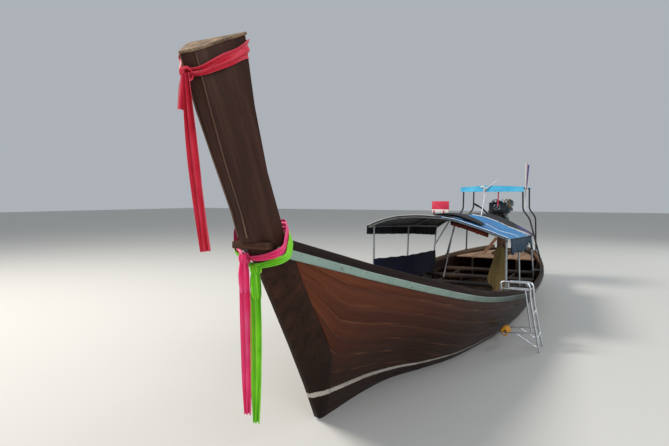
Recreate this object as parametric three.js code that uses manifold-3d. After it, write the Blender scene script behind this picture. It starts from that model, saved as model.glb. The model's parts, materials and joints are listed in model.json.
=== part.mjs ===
// Longtail boat: wooden hull with a tall prow, pipe canopies and an open engine on a swinging yoke.
// Millimetres. +X points to the bow, +Y to port, +Z up. The origin is on the waterline amidships.
import * as THREE from 'three';
import { mergeVertices } from 'three/addons/utils/BufferGeometryUtils.js';
import Module from 'manifold-3d';

const wasm = await Module();
wasm.setup();

// Driving sizes
const SEAM_GAP = 0.4;
const WALL = 26;
const RAIL_DEPTH = 62;
const RAIL_WIDTH = 48;
const RAIL_INSET = 20;
const RAIL_FRONT_X = 4095;
const STRAKE_DEPTH = 55;
const STRAKE_WIDTH = 26;
const STERN_X = -4700;
const TRANSOM_THICK = 36;
const TRANSOM_WING = 14;
const KEEL_WIDTH = 52;
const KEEL_DEPTH = 55;
const RIB_WIDTH = 34;
const RIB_DEPTH = 30;
const KEELSON_DEPTH = 40;
const FLOOR_Z = 60;
const FLOOR_FRONT_X = 2050;
const BEARER_DEPTH = 34;
const FLOOR_THICK = 20;
const DECK_THICK = 22;
const STERN_DECK_Z = 560;
const FOREDECK_DROP = 150;
const THWART_Z = 400;
const PIPE_R = 16;
const POST_HALF_BREADTH = 830;
const CLOTH_THICK = 4;
const PIVOT_X = -3850;
const PIVOT_Z = 1120;
const SHAFT_SLOPE = 22 * Math.PI / 180;
const PIPE_SIDES = 6;

// Hull lines: keel height, sheer half-breadth and height, and the fullness of the section
const HULL = [
  { x: 4290, keel: 1350, half: 134, sheer: 1449, fullOut: 0.50, fullUp: 0.50, foot: 14 },
  { x: 4200, keel: 1230, half: 150, sheer: 1425, fullOut: 0.50, fullUp: 0.50, foot: 14 },
  { x: 4050, keel: 980, half: 180, sheer: 1383, fullOut: 0.50, fullUp: 0.48, foot: 14 },
  { x: 3850, keel: 655, half: 222, sheer: 1327, fullOut: 0.50, fullUp: 0.46, foot: 14 },
  { x: 3650, keel: 315, half: 268, sheer: 1270, fullOut: 0.50, fullUp: 0.45, foot: 15 },
  { x: 3540, keel: 110, half: 294, sheer: 1239, fullOut: 0.49, fullUp: 0.45, foot: 16 },
  { x: 3495, keel: 25, half: 304, sheer: 1228, fullOut: 0.48, fullUp: 0.45, foot: 17 },
  { x: 3420, keel: -25, half: 326, sheer: 1204, fullOut: 0.46, fullUp: 0.45, foot: 18 },
  { x: 3000, keel: -75, half: 450, sheer: 1087, fullOut: 0.46, fullUp: 0.44, foot: 20 },
  { x: 2500, keel: -120, half: 600, sheer: 952, fullOut: 0.54, fullUp: 0.36, foot: 22 },
  { x: 2000, keel: -165, half: 726, sheer: 828, fullOut: 0.70, fullUp: 0.15, foot: 26 },
  { x: 1500, keel: -200, half: 829, sheer: 723, fullOut: 0.77, fullUp: 0.03, foot: 28 },
  { x: 1000, keel: -228, half: 902, sheer: 648, fullOut: 0.79, fullUp: 0.01, foot: 30 },
  { x: 500, keel: -250, half: 957, sheer: 588, fullOut: 0.81, fullUp: 0.00, foot: 30 },
  { x: -100, keel: -270, half: 1012, sheer: 528, fullOut: 0.79, fullUp: 0.00, foot: 30 },
  { x: -700, keel: -280, half: 1036, sheer: 498, fullOut: 0.78, fullUp: 0.00, foot: 30 },
  { x: -1400, keel: -282, half: 1020, sheer: 512, fullOut: 0.81, fullUp: 0.00, foot: 30 },
  { x: -2000, keel: -272, half: 976, sheer: 545, fullOut: 0.86, fullUp: 0.00, foot: 30 },
  { x: -2700, keel: -240, half: 874, sheer: 584, fullOut: 0.89, fullUp: 0.00, foot: 30 },
  { x: -3500, keel: -180, half: 716, sheer: 617, fullOut: 0.87, fullUp: 0.02, foot: 30 },
  { x: -4150, keel: -118, half: 548, sheer: 634, fullOut: 0.78, fullUp: 0.05, foot: 30 },
  { x: STERN_X, keel: -50, half: 345, sheer: 651, fullOut: 0.62, fullUp: 0.10, foot: 28 },
];
const SECTION_STEPS = 6;

// Prow post outline, from the stem head up to the cap
const PROW = [
  { frontX: 4345, frontZ: 1395, frontHalf: 30, aftX: 4105, aftZ: 1340, aftHalf: 158 },
  { frontX: 4400, frontZ: 1560, frontHalf: 32, aftX: 4190, aftZ: 1505, aftHalf: 168 },
  { frontX: 4544, frontZ: 1848, frontHalf: 36, aftX: 4340, aftZ: 1800, aftHalf: 176 },
  { frontX: 4671, frontZ: 2123, frontHalf: 46, aftX: 4470, aftZ: 2150, aftHalf: 187 },
  { frontX: 4776, frontZ: 2384, frontHalf: 51, aftX: 4564, aftZ: 2499, aftHalf: 199 },
];
const PROW_CAP = [
  { frontX: 4782, frontZ: 2381.10, frontHalf: 57, aftX: 4556, aftZ: 2503.70, aftHalf: 207 },
  { frontX: 4790, frontZ: 2396, frontHalf: 57, aftX: 4564, aftZ: 2518.6, aftHalf: 208 },
];

// Seam between the stem timber and the planking, top to keel
const STEM_SEAM = [
  { x: 4052, z: 1400 },
  { x: 4013, z: 1265 },
  { x: 3799, z: 961 },
  { x: 3676, z: 783 },
  { x: 3483, z: 502 },
  { x: 3435, z: 298 },
  { x: 3380, z: -60 },
];

// Canopy bows: place along the boat, how far the crown and the eaves drop, and the breadth
const BOWS = [
  { x: 650, drop: 0, eaveDrop: 0, wide: 1 },
  { x: -950, drop: 20, eaveDrop: 48, wide: 0.96 },
  { x: -2100, drop: 38, eaveDrop: 95, wide: 0.92 },
];
const BOW_PROFILE = [
  { y: -856, z: 1279 },
  { y: -720, z: 1337 },
  { y: -560, z: 1384 },
  { y: -400, z: 1408 },
  { y: -200, z: 1418 },
  { y: 0, z: 1411 },
  { y: 200, z: 1393 },
  { y: 400, z: 1339 },
  { y: 620, z: 1267 },
  { y: 856, z: 1183 },
];
const POSTS = [
  { x: 560, side: -1 },
  { x: -680, side: -1 },
  { x: -1980, side: -1 },
  { x: 480, side: 1 },
  { x: -560, side: 1 },
  { x: -1980, side: 1 },
];

const root = new THREE.Group();
root.name = 'longtail_boat';

// Solids from rings of points
function loft(rings) {
  const count = rings[0].length;
  const positions = [];
  const index = [];
  for (const ring of rings) {
    for (const p of ring) positions.push(p[0], p[1], p[2]);
  }
  for (let r = 0; r < rings.length - 1; r += 1) {
    for (let i = 0; i < count; i += 1) {
      const j = (i + 1) % count;
      const a = r * count + i;
      const b = r * count + j;
      const c = (r + 1) * count + j;
      const d = (r + 1) * count + i;
      index.push(a, b, c, a, c, d);
    }
  }
  capRing(rings[0], 0, index, true);
  capRing(rings[rings.length - 1], (rings.length - 1) * count, index, false);
  const geometry = new THREE.BufferGeometry();
  geometry.setAttribute('position', new THREE.Float32BufferAttribute(positions, 3));
  geometry.setIndex(index);
  return outward(geometry);
}

// A cloth of even thickness: rows of points, and the same points moved by the thickness, with
// the same diagonals on both faces
function clothSolid(rows, thick) {
  const count = rows[0].length;
  const positions = [];
  const index = [];
  for (const move of [[0, 0, 0], thick]) {
    for (const p of rows.flat()) positions.push(p[0] + move[0], p[1] + move[1], p[2] + move[2]);
  }
  const upper = rows.length * count;
  const at = (r, i) => r * count + i;
  for (let r = 0; r < rows.length - 1; r += 1) {
    for (let i = 0; i < count - 1; i += 1) {
      const [a, b, c, d] = [at(r, i), at(r, i + 1), at(r + 1, i + 1), at(r + 1, i)];
      index.push(a, b, c, a, c, d);
      index.push(upper + a, upper + c, upper + b, upper + a, upper + d, upper + c);
    }
  }
  const edge = [];
  for (let i = 0; i < count - 1; i += 1) edge.push(at(0, i));
  for (let r = 0; r < rows.length - 1; r += 1) edge.push(at(r, count - 1));
  for (let i = count - 1; i > 0; i -= 1) edge.push(at(rows.length - 1, i));
  for (let r = rows.length - 1; r > 0; r -= 1) edge.push(at(r, 0));
  edge.forEach((from, n) => {
    const to = edge[(n + 1) % edge.length];
    index.push(to, from, upper + from, to, upper + from, upper + to);
  });
  const geometry = new THREE.BufferGeometry();
  geometry.setAttribute('position', new THREE.Float32BufferAttribute(positions, 3));
  geometry.setIndex(index);
  return outward(geometry);
}

function capRing(ring, offset, index, flip) {
  const points = ring.map((p) => new THREE.Vector3(p[0], p[1], p[2]));
  const normal = new THREE.Vector3();
  for (let i = 0; i < points.length; i += 1) {
    const p = points[i];
    const q = points[(i + 1) % points.length];
    normal.x += (p.y - q.y) * (p.z + q.z);
    normal.y += (p.z - q.z) * (p.x + q.x);
    normal.z += (p.x - q.x) * (p.y + q.y);
  }
  normal.normalize();
  const u = new THREE.Vector3().subVectors(points[1], points[0]).normalize();
  const v = new THREE.Vector3().crossVectors(normal, u);
  const flat = points.map((p) => new THREE.Vector2(p.dot(u), p.dot(v)));
  for (const [a, b, c] of THREE.ShapeUtils.triangulateShape(flat, [])) {
    if (flip) index.push(offset + a, offset + c, offset + b);
    else index.push(offset + a, offset + b, offset + c);
  }
}

function volumeOf(geometry) {
  const p = geometry.getAttribute('position');
  const index = geometry.getIndex();
  const a = new THREE.Vector3();
  const b = new THREE.Vector3();
  const c = new THREE.Vector3();
  let total = 0;
  for (let i = 0; i < index.count; i += 3) {
    a.fromBufferAttribute(p, index.getX(i));
    b.fromBufferAttribute(p, index.getX(i + 1));
    c.fromBufferAttribute(p, index.getX(i + 2));
    total += a.dot(b.cross(c));
  }
  return total / 6;
}

function outward(geometry) {
  if (volumeOf(geometry) >= 0) return geometry;
  const old = geometry.getIndex();
  const turned = [];
  for (let i = 0; i < old.count; i += 3) turned.push(old.getX(i), old.getX(i + 2), old.getX(i + 1));
  geometry.setIndex(turned);
  return geometry;
}

function toManifold(geometry) {
  const bare = geometry.clone();
  bare.deleteAttribute('normal');
  bare.deleteAttribute('uv');
  const merged = mergeVertices(bare, 1e-4);
  return new wasm.Manifold(new wasm.Mesh({
    numProp: 3,
    vertProperties: new Float32Array(merged.getAttribute('position').array),
    triVerts: new Uint32Array(merged.getIndex().array),
  }));
}

function toGeometry(solid) {
  const mesh = solid.getMesh();
  const geometry = new THREE.BufferGeometry();
  geometry.setAttribute('position', new THREE.BufferAttribute(new Float32Array(mesh.vertProperties), 3));
  geometry.setIndex(new THREE.BufferAttribute(new Uint32Array(mesh.triVerts), 1));
  return geometry;
}

function joined(geometries) {
  let solid = toManifold(geometries[0]);
  for (const geometry of geometries.slice(1)) solid = solid.add(toManifold(geometry));
  return toGeometry(solid);
}

function minus(geometry, cutters) {
  let solid = toManifold(geometry);
  for (const cutter of cutters) solid = solid.subtract(toManifold(cutter));
  return toGeometry(solid);
}

function common(geometry, other) {
  return toGeometry(toManifold(geometry).intersect(toManifold(other)));
}

function box(x0, x1, y0, y1, z0, z1) {
  const ring = (z) => [[x0, y0, z], [x1, y0, z], [x1, y1, z], [x0, y1, z]];
  return loft([ring(z0), ring(z1)]);
}

// Round bar along a line of points; the ends are closed flat
function pipe(points, radius, sides = PIPE_SIDES) {
  const line = points.map((p) => new THREE.Vector3(p[0], p[1], p[2]));
  const rings = [];
  let across = null;
  for (let i = 0; i < line.length; i += 1) {
    const before = line[Math.max(i - 1, 0)];
    const after = line[Math.min(i + 1, line.length - 1)];
    const into = new THREE.Vector3().subVectors(line[i], before).normalize();
    const out = new THREE.Vector3().subVectors(after, line[i]).normalize();
    const along = new THREE.Vector3().addVectors(into, out).normalize();
    const leg = i === 0 ? out : into;
    if (across === null) {
      across = Math.abs(along.z) < 0.9 ? new THREE.Vector3(0, 0, 1) : new THREE.Vector3(1, 0, 0);
    }
    across = across.clone().addScaledVector(along, -across.dot(along)).normalize();
    const up = new THREE.Vector3().crossVectors(along, across);
    const stretch = 1 / Math.max(along.dot(leg), 0.5);
    const bend = new THREE.Vector3().subVectors(out, into);
    const ring = [];
    for (let k = 0; k < sides; k += 1) {
      const angle = (k + 0.5) * 2 * Math.PI / sides;
      const spoke = across.clone().multiplyScalar(Math.cos(angle)).addScaledVector(up, Math.sin(angle));
      if (bend.length() > 1e-6) {
        const side = bend.clone().normalize();
        spoke.addScaledVector(side, spoke.dot(side) * (stretch - 1));
      }
      ring.push([
        line[i].x + radius * spoke.x,
        line[i].y + radius * spoke.y,
        line[i].z + radius * spoke.z,
      ]);
    }
    rings.push(ring);
  }
  return loft(rings);
}

// Turned solid: profile of [radius, height] about an axis through a centre
function turned(profile, centre, axis, sides) {
  const dir = new THREE.Vector3(axis[0], axis[1], axis[2]).normalize();
  const seed = Math.abs(dir.z) < 0.9 ? new THREE.Vector3(0, 0, 1) : new THREE.Vector3(1, 0, 0);
  const u = new THREE.Vector3().crossVectors(dir, seed).normalize();
  const v = new THREE.Vector3().crossVectors(dir, u);
  const rings = profile.map(([radius, height]) => {
    const ring = [];
    for (let k = 0; k < sides; k += 1) {
      const angle = k * 2 * Math.PI / sides;
      const a = radius * Math.cos(angle);
      const b = radius * Math.sin(angle);
      ring.push([
        centre[0] + dir.x * height + u.x * a + v.x * b,
        centre[1] + dir.y * height + u.y * a + v.y * b,
        centre[2] + dir.z * height + u.z * a + v.z * b,
      ]);
    }
    return ring;
  });
  return loft(rings);
}

function paint(name, geometry, color, roughness, metalness) {
  const flat = geometry.index === null ? geometry : geometry.toNonIndexed();
  flat.computeVertexNormals();
  const material = new THREE.MeshStandardMaterial({ color, roughness, metalness });
  material.name = `${name}_finish`;
  const mesh = new THREE.Mesh(flat, material);
  mesh.name = name;
  root.add(mesh);
}

const wood = (name, geometry, color = 0x50281c) => paint(name, geometry, color, 0.45, 0);
const steel = (name, geometry, color = 0x8a8c8e) => paint(name, geometry, color, 0.35, 1);
const cloth = (name, geometry, color) => paint(name, geometry, color, 0.9, 0);

// Hull lines between the stations
function hullAt(x) {
  let i = 0;
  while (i < HULL.length - 2 && x < HULL[i + 1].x) i += 1;
  const a = HULL[i];
  const b = HULL[i + 1];
  const t = Math.min(Math.max((a.x - x) / (a.x - b.x), 0), 1);
  const row = { x };
  for (const key of ['keel', 'half', 'sheer', 'fullOut', 'fullUp', 'foot']) {
    row[key] = a[key] + (b[key] - a[key]) * t;
  }
  return row;
}

function sectionPoint(row, t) {
  const top = row.sheer - RAIL_DEPTH;
  const wide = row.half - RAIL_INSET;
  const outY = row.foot + (wide - row.foot) * row.fullOut;
  const outZ = row.keel + (top - row.keel) * row.fullUp;
  const s = 1 - t;
  const y = s * s * row.foot + 2 * s * t * outY + t * t * wide;
  const z = s * s * row.keel + 2 * s * t * outZ + t * t * top;
  const dy = 2 * s * (outY - row.foot) + 2 * t * (wide - outY);
  const dz = 2 * s * (outZ - row.keel) + 2 * t * (top - outZ);
  const size = Math.hypot(dy, dz);
  return { y, z, ny: dz / size, nz: -dy / size };
}

function insetPoint(row, t, inset) {
  const p = sectionPoint(row, t);
  return { y: p.y - p.ny * inset, z: p.z - p.nz * inset };
}

// Closed ring across the hull at one station, a given depth inside the outer face
function hullRing(row, inset, topZ) {
  let first = 0;
  while (first < 0.97 && insetPoint(row, first, inset).y < 4) first += 0.01;
  const side = [];
  for (let k = 0; k <= SECTION_STEPS; k += 1) {
    const t = first + (1 - first) * (k / SECTION_STEPS);
    side.push(insetPoint(row, t, inset));
  }
  const ring = side.map((p) => [row.x, p.y, p.z]);
  const last = side[side.length - 1];
  const top = topZ === null ? last.z : topZ;
  if (topZ !== null) ring.push([row.x, last.y, top]);
  const mirror = ring.slice().reverse().map((p) => [p[0], -p[1], p[2]]);
  return ring.concat(mirror);
}

function innerHalf(x, z, inset) {
  const row = hullAt(x);
  let best = 0;
  for (let t = 0; t <= 1.0001; t += 0.005) {
    const p = insetPoint(row, t, inset);
    if (p.z <= z) best = p.y;
  }
  return best;
}

const OVER = 400;
const outerHull = loft(HULL.map((row) => hullRing(row, 0, null)));
const grownHull = loft(HULL.map(
  (row) => hullRing(row, -SEAM_GAP, row.sheer - RAIL_DEPTH + SEAM_GAP),
));
const CAVITY_FRONT_X = 3900;
const CAVITY_AFT_X = STERN_X - 60;
const cavityRows = [hullAt(CAVITY_FRONT_X)]
  .concat(HULL.filter((row) => row.x < CAVITY_FRONT_X))
  .concat([{ ...hullAt(STERN_X), x: CAVITY_AFT_X }]);
const cavityOf = (inset) => loft(cavityRows.map((row) => hullRing(row, inset, row.sheer + OVER)));

function sidePlate(points, y0, y1) {
  return loft([points.map((p) => [p[0], y0, p[1]]), points.map((p) => [p[0], y1, p[1]])]);
}
const FAR_X = 4700;
function stemBlock(shift) {
  const seam = STEM_SEAM.map((p) => [p.x - shift, p.z]);
  return sidePlate([...seam, [FAR_X, -200], [FAR_X, 1500], [4052 - shift, 1500]], -OVER, OVER);
}

// Bow crossbeam, let into the stem head
const BEAM = { x0: 4222, x1: 4292, half: 128, z0: 1344, z1: 1388 };
const beamBox = (grow) => box(
  BEAM.x0 - grow, BEAM.x1 + grow, -BEAM.half - grow, BEAM.half + grow, BEAM.z0 - grow, BEAM.z1 + grow,
);

wood('hull_shell', minus(outerHull, [cavityOf(WALL), stemBlock(SEAM_GAP), beamBox(SEAM_GAP)]), 0x5a2c1e);
wood('stem_timber', minus(common(outerHull, stemBlock(0)), [beamBox(SEAM_GAP), cavityOf(WALL)]), 0x33201a);
wood('bow_crossbeam', beamBox(0), 0x7d6a4c);

// Transom board closing the stern
function transomRing(x, grow) {
  const ring = hullRing({ ...hullAt(STERN_X), x }, -grow, null);
  return ring.map((p) => [x, p[1], p[2]]);
}
wood('transom', loft([
  transomRing(STERN_X - SEAM_GAP, TRANSOM_WING),
  transomRing(STERN_X - SEAM_GAP - TRANSOM_THICK, TRANSOM_WING),
]), 0x4a2c20);

// Keel timber under the planking, from the forefoot to the transom
const SEAT = 6;
const KEEL_FRONT_X = 3300;
const keelRows = HULL.filter((row) => row.x < KEEL_FRONT_X);
const keelRing = (row) => [
  [row.x, KEEL_WIDTH / 2, row.keel + SEAT],
  [row.x, -KEEL_WIDTH / 2, row.keel + SEAT],
  [row.x, -KEEL_WIDTH / 2, row.keel - SEAM_GAP - KEEL_DEPTH],
  [row.x, KEEL_WIDTH / 2, row.keel - SEAM_GAP - KEEL_DEPTH],
];
wood('keel_timber', minus(loft([hullAt(KEEL_FRONT_X), ...keelRows].map(keelRing)), [grownHull]), 0x33201a);

// Sheer rails on top of the planking and rub strakes just under them
const sideRows = (front) => [hullAt(front)].concat(HULL.filter((row) => row.x < front));
function railRing(row, side) {
  const z = row.sheer - RAIL_DEPTH + SEAM_GAP;
  const y = row.half;
  return [
    [row.x, side * y, z],
    [row.x, side * y, row.sheer],
    [row.x, side * (y - RAIL_WIDTH), row.sheer],
    [row.x, side * (y - RAIL_WIDTH), z],
  ];
}
function strakeRing(row, side) {
  const top = row.sheer - RAIL_DEPTH - SEAM_GAP;
  const lower = sectionAtHeight(row, top - STRAKE_DEPTH);
  const upper = sectionAtHeight(row, top);
  return [
    [row.x, side * (upper - SEAT), top],
    [row.x, side * (upper + STRAKE_WIDTH), top],
    [row.x, side * (lower + STRAKE_WIDTH), top - STRAKE_DEPTH],
    [row.x, side * (lower - SEAT), top - STRAKE_DEPTH],
  ];
}
function sectionAtHeight(row, z) {
  let best = row.half - RAIL_INSET;
  for (let t = 1; t >= 0; t -= 0.002) {
    const p = sectionPoint(row, t);
    if (p.z < z) break;
    best = p.y;
  }
  return best;
}
const STRAKE_FRONT_X = 4176;
const prowRing = (row, grow) => [
  [row.frontX + grow, row.frontHalf + grow, row.frontZ],
  [row.aftX - grow, row.aftHalf + grow, row.aftZ],
  [row.aftX - grow, -row.aftHalf - grow, row.aftZ],
  [row.frontX + grow, -row.frontHalf - grow, row.frontZ],
];
const prowSolid = (grow) => loft(PROW.map((row) => prowRing(row, grow)));
for (const [label, side] of [['port', 1], ['starboard', -1]]) {
  wood(`sheer_rail_${label}`, loft(sideRows(RAIL_FRONT_X).map((row) => railRing(row, side))), 0x3c241c);
  const strake = loft(sideRows(STRAKE_FRONT_X).map((row) => strakeRing(row, side)));
  wood(`rub_strake_${label}`, minus(strake, [grownHull, prowSolid(SEAM_GAP)]), 0x86a39a);
}

// Prow post and its weathered cap
wood('prow_post', minus(prowSolid(0), [beamBox(SEAM_GAP), grownHull]), 0x3f2a22);
wood('prow_cap', loft(PROW_CAP.map((row) => prowRing(row, 0))), 0x82704f);

// Frames inside the planking, carried by the keelson
const RIB_X = [2450, 1800, 1150, 500, -150, -800, -1450, -2100, -2750, -3400, -4050];
const RIB_TOP_DROP = 12;
const lid = loft(cavityRows.map((row) => {
  const z = row.sheer - RAIL_DEPTH - RIB_TOP_DROP;
  return [[row.x, 1500, z], [row.x, -1500, z], [row.x, -1500, z + 1500], [row.x, 1500, z + 1500]];
}));
const keelsonRow = (x) => {
  const row = hullAt(x);
  const base = insetPoint(row, 0, WALL + SEAM_GAP).z + 4;
  return [
    [x, 22, base + 4],
    [x, -22, base + 4],
    [x, -22, base + KEELSON_DEPTH],
    [x, 22, base + KEELSON_DEPTH],
  ];
};
const keelsonXs = HULL.map((row) => row.x).filter((x) => x < 2600 && x > STERN_X);
const keelson = loft([2480, ...keelsonXs, -4120].map(keelsonRow));
let ribSlices = null;
for (const x of RIB_X) {
  const slice = toManifold(box(x - RIB_WIDTH / 2, x + RIB_WIDTH / 2, -1400, 1400, -600, 1400));
  ribSlices = ribSlices === null ? slice : ribSlices.add(slice);
}
const framing = ribSlices
  .intersect(toManifold(cavityOf(WALL + SEAM_GAP)))
  .subtract(toManifold(cavityOf(WALL + SEAM_GAP + RIB_DEPTH)))
  .subtract(toManifold(lid));
const bearers = ribSlices
  .intersect(toManifold(cavityOf(WALL + SEAM_GAP)))
  .intersect(toManifold(box(-4100, FLOOR_FRONT_X, -1400, 1400, FLOOR_Z - BEARER_DEPTH, FLOOR_Z - SEAM_GAP)));
const spine = toManifold(keelson).intersect(toManifold(cavityOf(WALL + SEAM_GAP)));
wood('rib_frames', toGeometry(framing.add(spine).add(bearers)), 0x3a2519);

// Floor boards lie on the frames inside the hull
const FLOOR_AFT_X = -4000;
const SIDE_CLEAR = 16;
const ribInset = WALL + RIB_DEPTH + SIDE_CLEAR;
function slabRows(front, aft, z, inset) {
  const xs = [front, ...HULL.map((row) => row.x).filter((x) => x < front - 30 && x > aft + 30), aft];
  return xs.map((x) => ({ x, y: innerHalf(x, z, inset) }));
}
function slab(front, aft, z, thick, inset) {
  const rows = slabRows(front, aft, z, inset);
  return loft(rows.map((row) => [
    [row.x, row.y, z],
    [row.x, -row.y, z],
    [row.x, -row.y, z + thick],
    [row.x, row.y, z + thick],
  ]));
}
wood('floor_boards', slab(FLOOR_FRONT_X, FLOOR_AFT_X, FLOOR_Z, FLOOR_THICK, ribInset), 0x6a4a34);

// Fore deck, stern deck and thwarts
const foredeckSlab = loft([3860, 3650, 3300, 2900, 2480].map((x) => {
  const z = hullAt(x).sheer - RAIL_DEPTH - FOREDECK_DROP;
  return [[x, 900, z], [x, -900, z], [x, -900, z + DECK_THICK], [x, 900, z + DECK_THICK]];
}));
wood('foredeck', common(foredeckSlab, cavityOf(WALL + SEAM_GAP)), 0x6e5038);

const STERN_DECK_FRONT_X = -3100;
const STERN_DECK_AFT_X = -4650;
const sternLegs = [
  box(-3140, -3100, -420, -380, FLOOR_Z + FLOOR_THICK + SEAM_GAP, STERN_DECK_Z + 1),
  box(-3140, -3100, 380, 420, FLOOR_Z + FLOOR_THICK + SEAM_GAP, STERN_DECK_Z + 1),
];
const sternDeckTop = minus(
  slab(STERN_DECK_FRONT_X, STERN_DECK_AFT_X, STERN_DECK_Z - 30, DECK_THICK, ribInset),
  [box(-6000, STERN_DECK_AFT_X + 10, -900, 900, 0, 900)],
);
wood('stern_deck', joined([sternDeckTop, ...sternLegs]), 0x7a5040);

const STRINGER_Y = 470;
const THWARTS = [
  { x: 1250, depth: 240 },
  { x: 325, depth: 250 },
  { x: -900, depth: 250 },
  { x: -1650, depth: 260 },
  { x: -2550, depth: 240 },
];
const thwartBoards = THWARTS.map((row) => {
  const half = Math.min(
    innerHalf(row.x + row.depth / 2, THWART_Z - 30, ribInset),
    innerHalf(row.x - row.depth / 2, THWART_Z - 30, ribInset),
  );
  return box(row.x - row.depth / 2, row.x + row.depth / 2, -half, half, THWART_Z - 28, THWART_Z);
});
const stringers = [-1, 1].map((side) => {
  const y = side * STRINGER_Y;
  return box(-2660, 1360, y - 18, y + 18, THWART_Z - 90, THWART_Z - 27);
});
const thwartLegs = THWARTS.flatMap((row) => [-1, 1].map((side) => {
  const y = side * STRINGER_Y;
  return box(row.x - 20, row.x + 20, y - 17, y + 17, FLOOR_Z + FLOOR_THICK + SEAM_GAP, THWART_Z - 60);
}));
wood('thwarts', joined([...thwartBoards, ...stringers, ...thwartLegs]), 0x5d4030);

// Main canopy frame: bent bows, side pipes, posts and struts
const profilePoint = (bow, p) => [
  bow.x, p.y * bow.wide, p.z - bow.drop - bow.eaveDrop * (p.y / 860) ** 2,
];
const bowLine = (bow) => BOW_PROFILE.map((p) => profilePoint(bow, p));
const betweenBows = (x) => {
  const i = x < BOWS[1].x ? 1 : 0;
  const t = (BOWS[i].x - x) / (BOWS[i].x - BOWS[i + 1].x);
  return [BOWS[i], BOWS[i + 1], t];
};
function wideAt(x) {
  const [a, b, t] = betweenBows(x);
  return a.wide + (b.wide - a.wide) * t;
}
function profileHeight(bow, v) {
  let k = 0;
  while (k < BOW_PROFILE.length - 2 && v > BOW_PROFILE[k + 1].y) k += 1;
  const [low, high] = [BOW_PROFILE[k], BOW_PROFILE[k + 1]];
  const z0 = profilePoint(bow, low)[2];
  const z1 = profilePoint(bow, high)[2];
  return z0 + (z1 - z0) * ((v - low.y) / (high.y - low.y));
}
function bowHeight(x, y) {
  const [a, b, t] = betweenBows(x);
  const v = y / wideAt(x);
  return profileHeight(a, v) * (1 - t) + profileHeight(b, v) * t;
}
const frontBow = BOWS[0].x;
const midBow = BOWS[1].x;
const aftBow = BOWS[2].x;
const alongPipe = (v) => pipe(
  BOWS.map((bow) => [bow.x, v * bow.wide, profileHeight(bow, v)]), PIPE_R - 2,
);
const canopyPipes = BOWS.map((bow) => pipe(bowLine(bow), PIPE_R));
for (const v of [-842, -400, 0, 400, 842]) canopyPipes.push(alongPipe(v));
function postBreadth(x, z) {
  const foot = hullAt(x).sheer - 150;
  const head = bowHeight(x, -POST_HALF_BREADTH * wideAt(x));
  return POST_HALF_BREADTH * (1 + (wideAt(x) - 1) * ((z - foot) / (head - foot)));
}
for (const post of POSTS) {
  const y = post.side * POST_HALF_BREADTH;
  const rail = hullAt(post.x);
  const inner = rail.half - RAIL_WIDTH - 3.2;
  canopyPipes.push(pipe([
    [post.x, y, rail.sheer - 150],
    [post.x, y * wideAt(post.x), bowHeight(post.x, y * wideAt(post.x))],
  ], PIPE_R - 3));
  canopyPipes.push(box(
    post.x - 22, post.x + 22, Math.min(y, post.side * inner), Math.max(y, post.side * inner),
    rail.sheer - 50, rail.sheer - 22,
  ));
}
const STRUT_FOOT = [-1980, -postBreadth(-1980, 840), 840];
canopyPipes.push(pipe([[midBow, -200, bowHeight(midBow, -200)], STRUT_FOOT], PIPE_R - 6));
canopyPipes.push(pipe([[midBow, -150, bowHeight(midBow, -150)], [midBow, -330, THWART_Z + 60]], PIPE_R - 7));
steel('canopy_frame', joined(canopyPipes), 0x77787a);

// Canopy cloths: dark over the starboard half, blue over the port half
const CLOTH_LIFT = PIPE_R * Math.cos(Math.PI / PIPE_SIDES) + 0.9;
const CLOTH_SPLIT = 90;
const clothYs = (from, to) => {
  const mids = BOW_PROFILE.map((p) => p.y).filter((y) => y > from + 5 && y < to - 5);
  return [from, ...mids, to];
};
function steepness(x, y) {
  const slope = Math.max(
    Math.abs(bowHeight(x, y + 30) - bowHeight(x, y)),
    Math.abs(bowHeight(x, y) - bowHeight(x, y - 30)),
  ) / 30;
  return Math.hypot(1, slope);
}
const clothUnder = (x, y) => bowHeight(x, y) + CLOTH_LIFT * steepness(x, y);
function roofCloth(from, to) {
  const xs = [frontBow + 25, midBow, aftBow - 25];
  return clothSolid(xs.map((x) => {
    const ys = clothYs(from, to).map((y) => y * wideAt(x));
    return ys.map((y) => [x, y, clothUnder(x, y)]);
  }), [0, 0, CLOTH_THICK]);
}
const DARK_EDGE = -872;
cloth('canopy_cloth_dark', roofCloth(DARK_EDGE, CLOTH_SPLIT - 1), 0x1a1d28);
cloth('canopy_cloth_blue', roofCloth(CLOTH_SPLIT + 1, 888), 0x3282d2);

// Starboard valance and side screen, port curtain bundle, rolled front screen
const VALANCE = [
  { x: frontBow + 20, deep: 104 },
  { x: midBow, deep: 128 },
  { x: -2040, deep: 150 },
];
cloth('side_valance', clothSolid(VALANCE.map((row) => {
  const y = (DARK_EDGE - 0.4) * wideAt(row.x);
  const z = clothUnder(row.x, DARK_EDGE * wideAt(row.x)) + CLOTH_THICK;
  return [[row.x, y, z], [row.x, y, z - row.deep]];
}), [0, -CLOTH_THICK, 0]), 0x141a30);
const SCREEN_LOW = 403;
const SCREEN_INSET = PIPE_R - 3 + 0.8;
const SCREEN = [
  { x: 590, top: 862 },
  { x: POSTS[1].x, top: 785 },
  { x: POSTS[2].x, top: 750 },
];
cloth('side_screen', clothSolid(SCREEN.map((row) => {
  const head = -postBreadth(row.x, row.top) + SCREEN_INSET;
  const foot = -postBreadth(row.x, SCREEN_LOW) + SCREEN_INSET;
  return [[row.x, head, row.top], [row.x, foot, SCREEN_LOW]];
}), [0, CLOTH_THICK, 0]), 0x1b2550);
const CURTAIN = [
  { x: 380, deep: 190, wave: 18 },
  { x: 0, deep: 170, wave: 8 },
  { x: -500, deep: 200, wave: 22 },
  { x: -900, deep: 170, wave: 12 },
];
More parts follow.
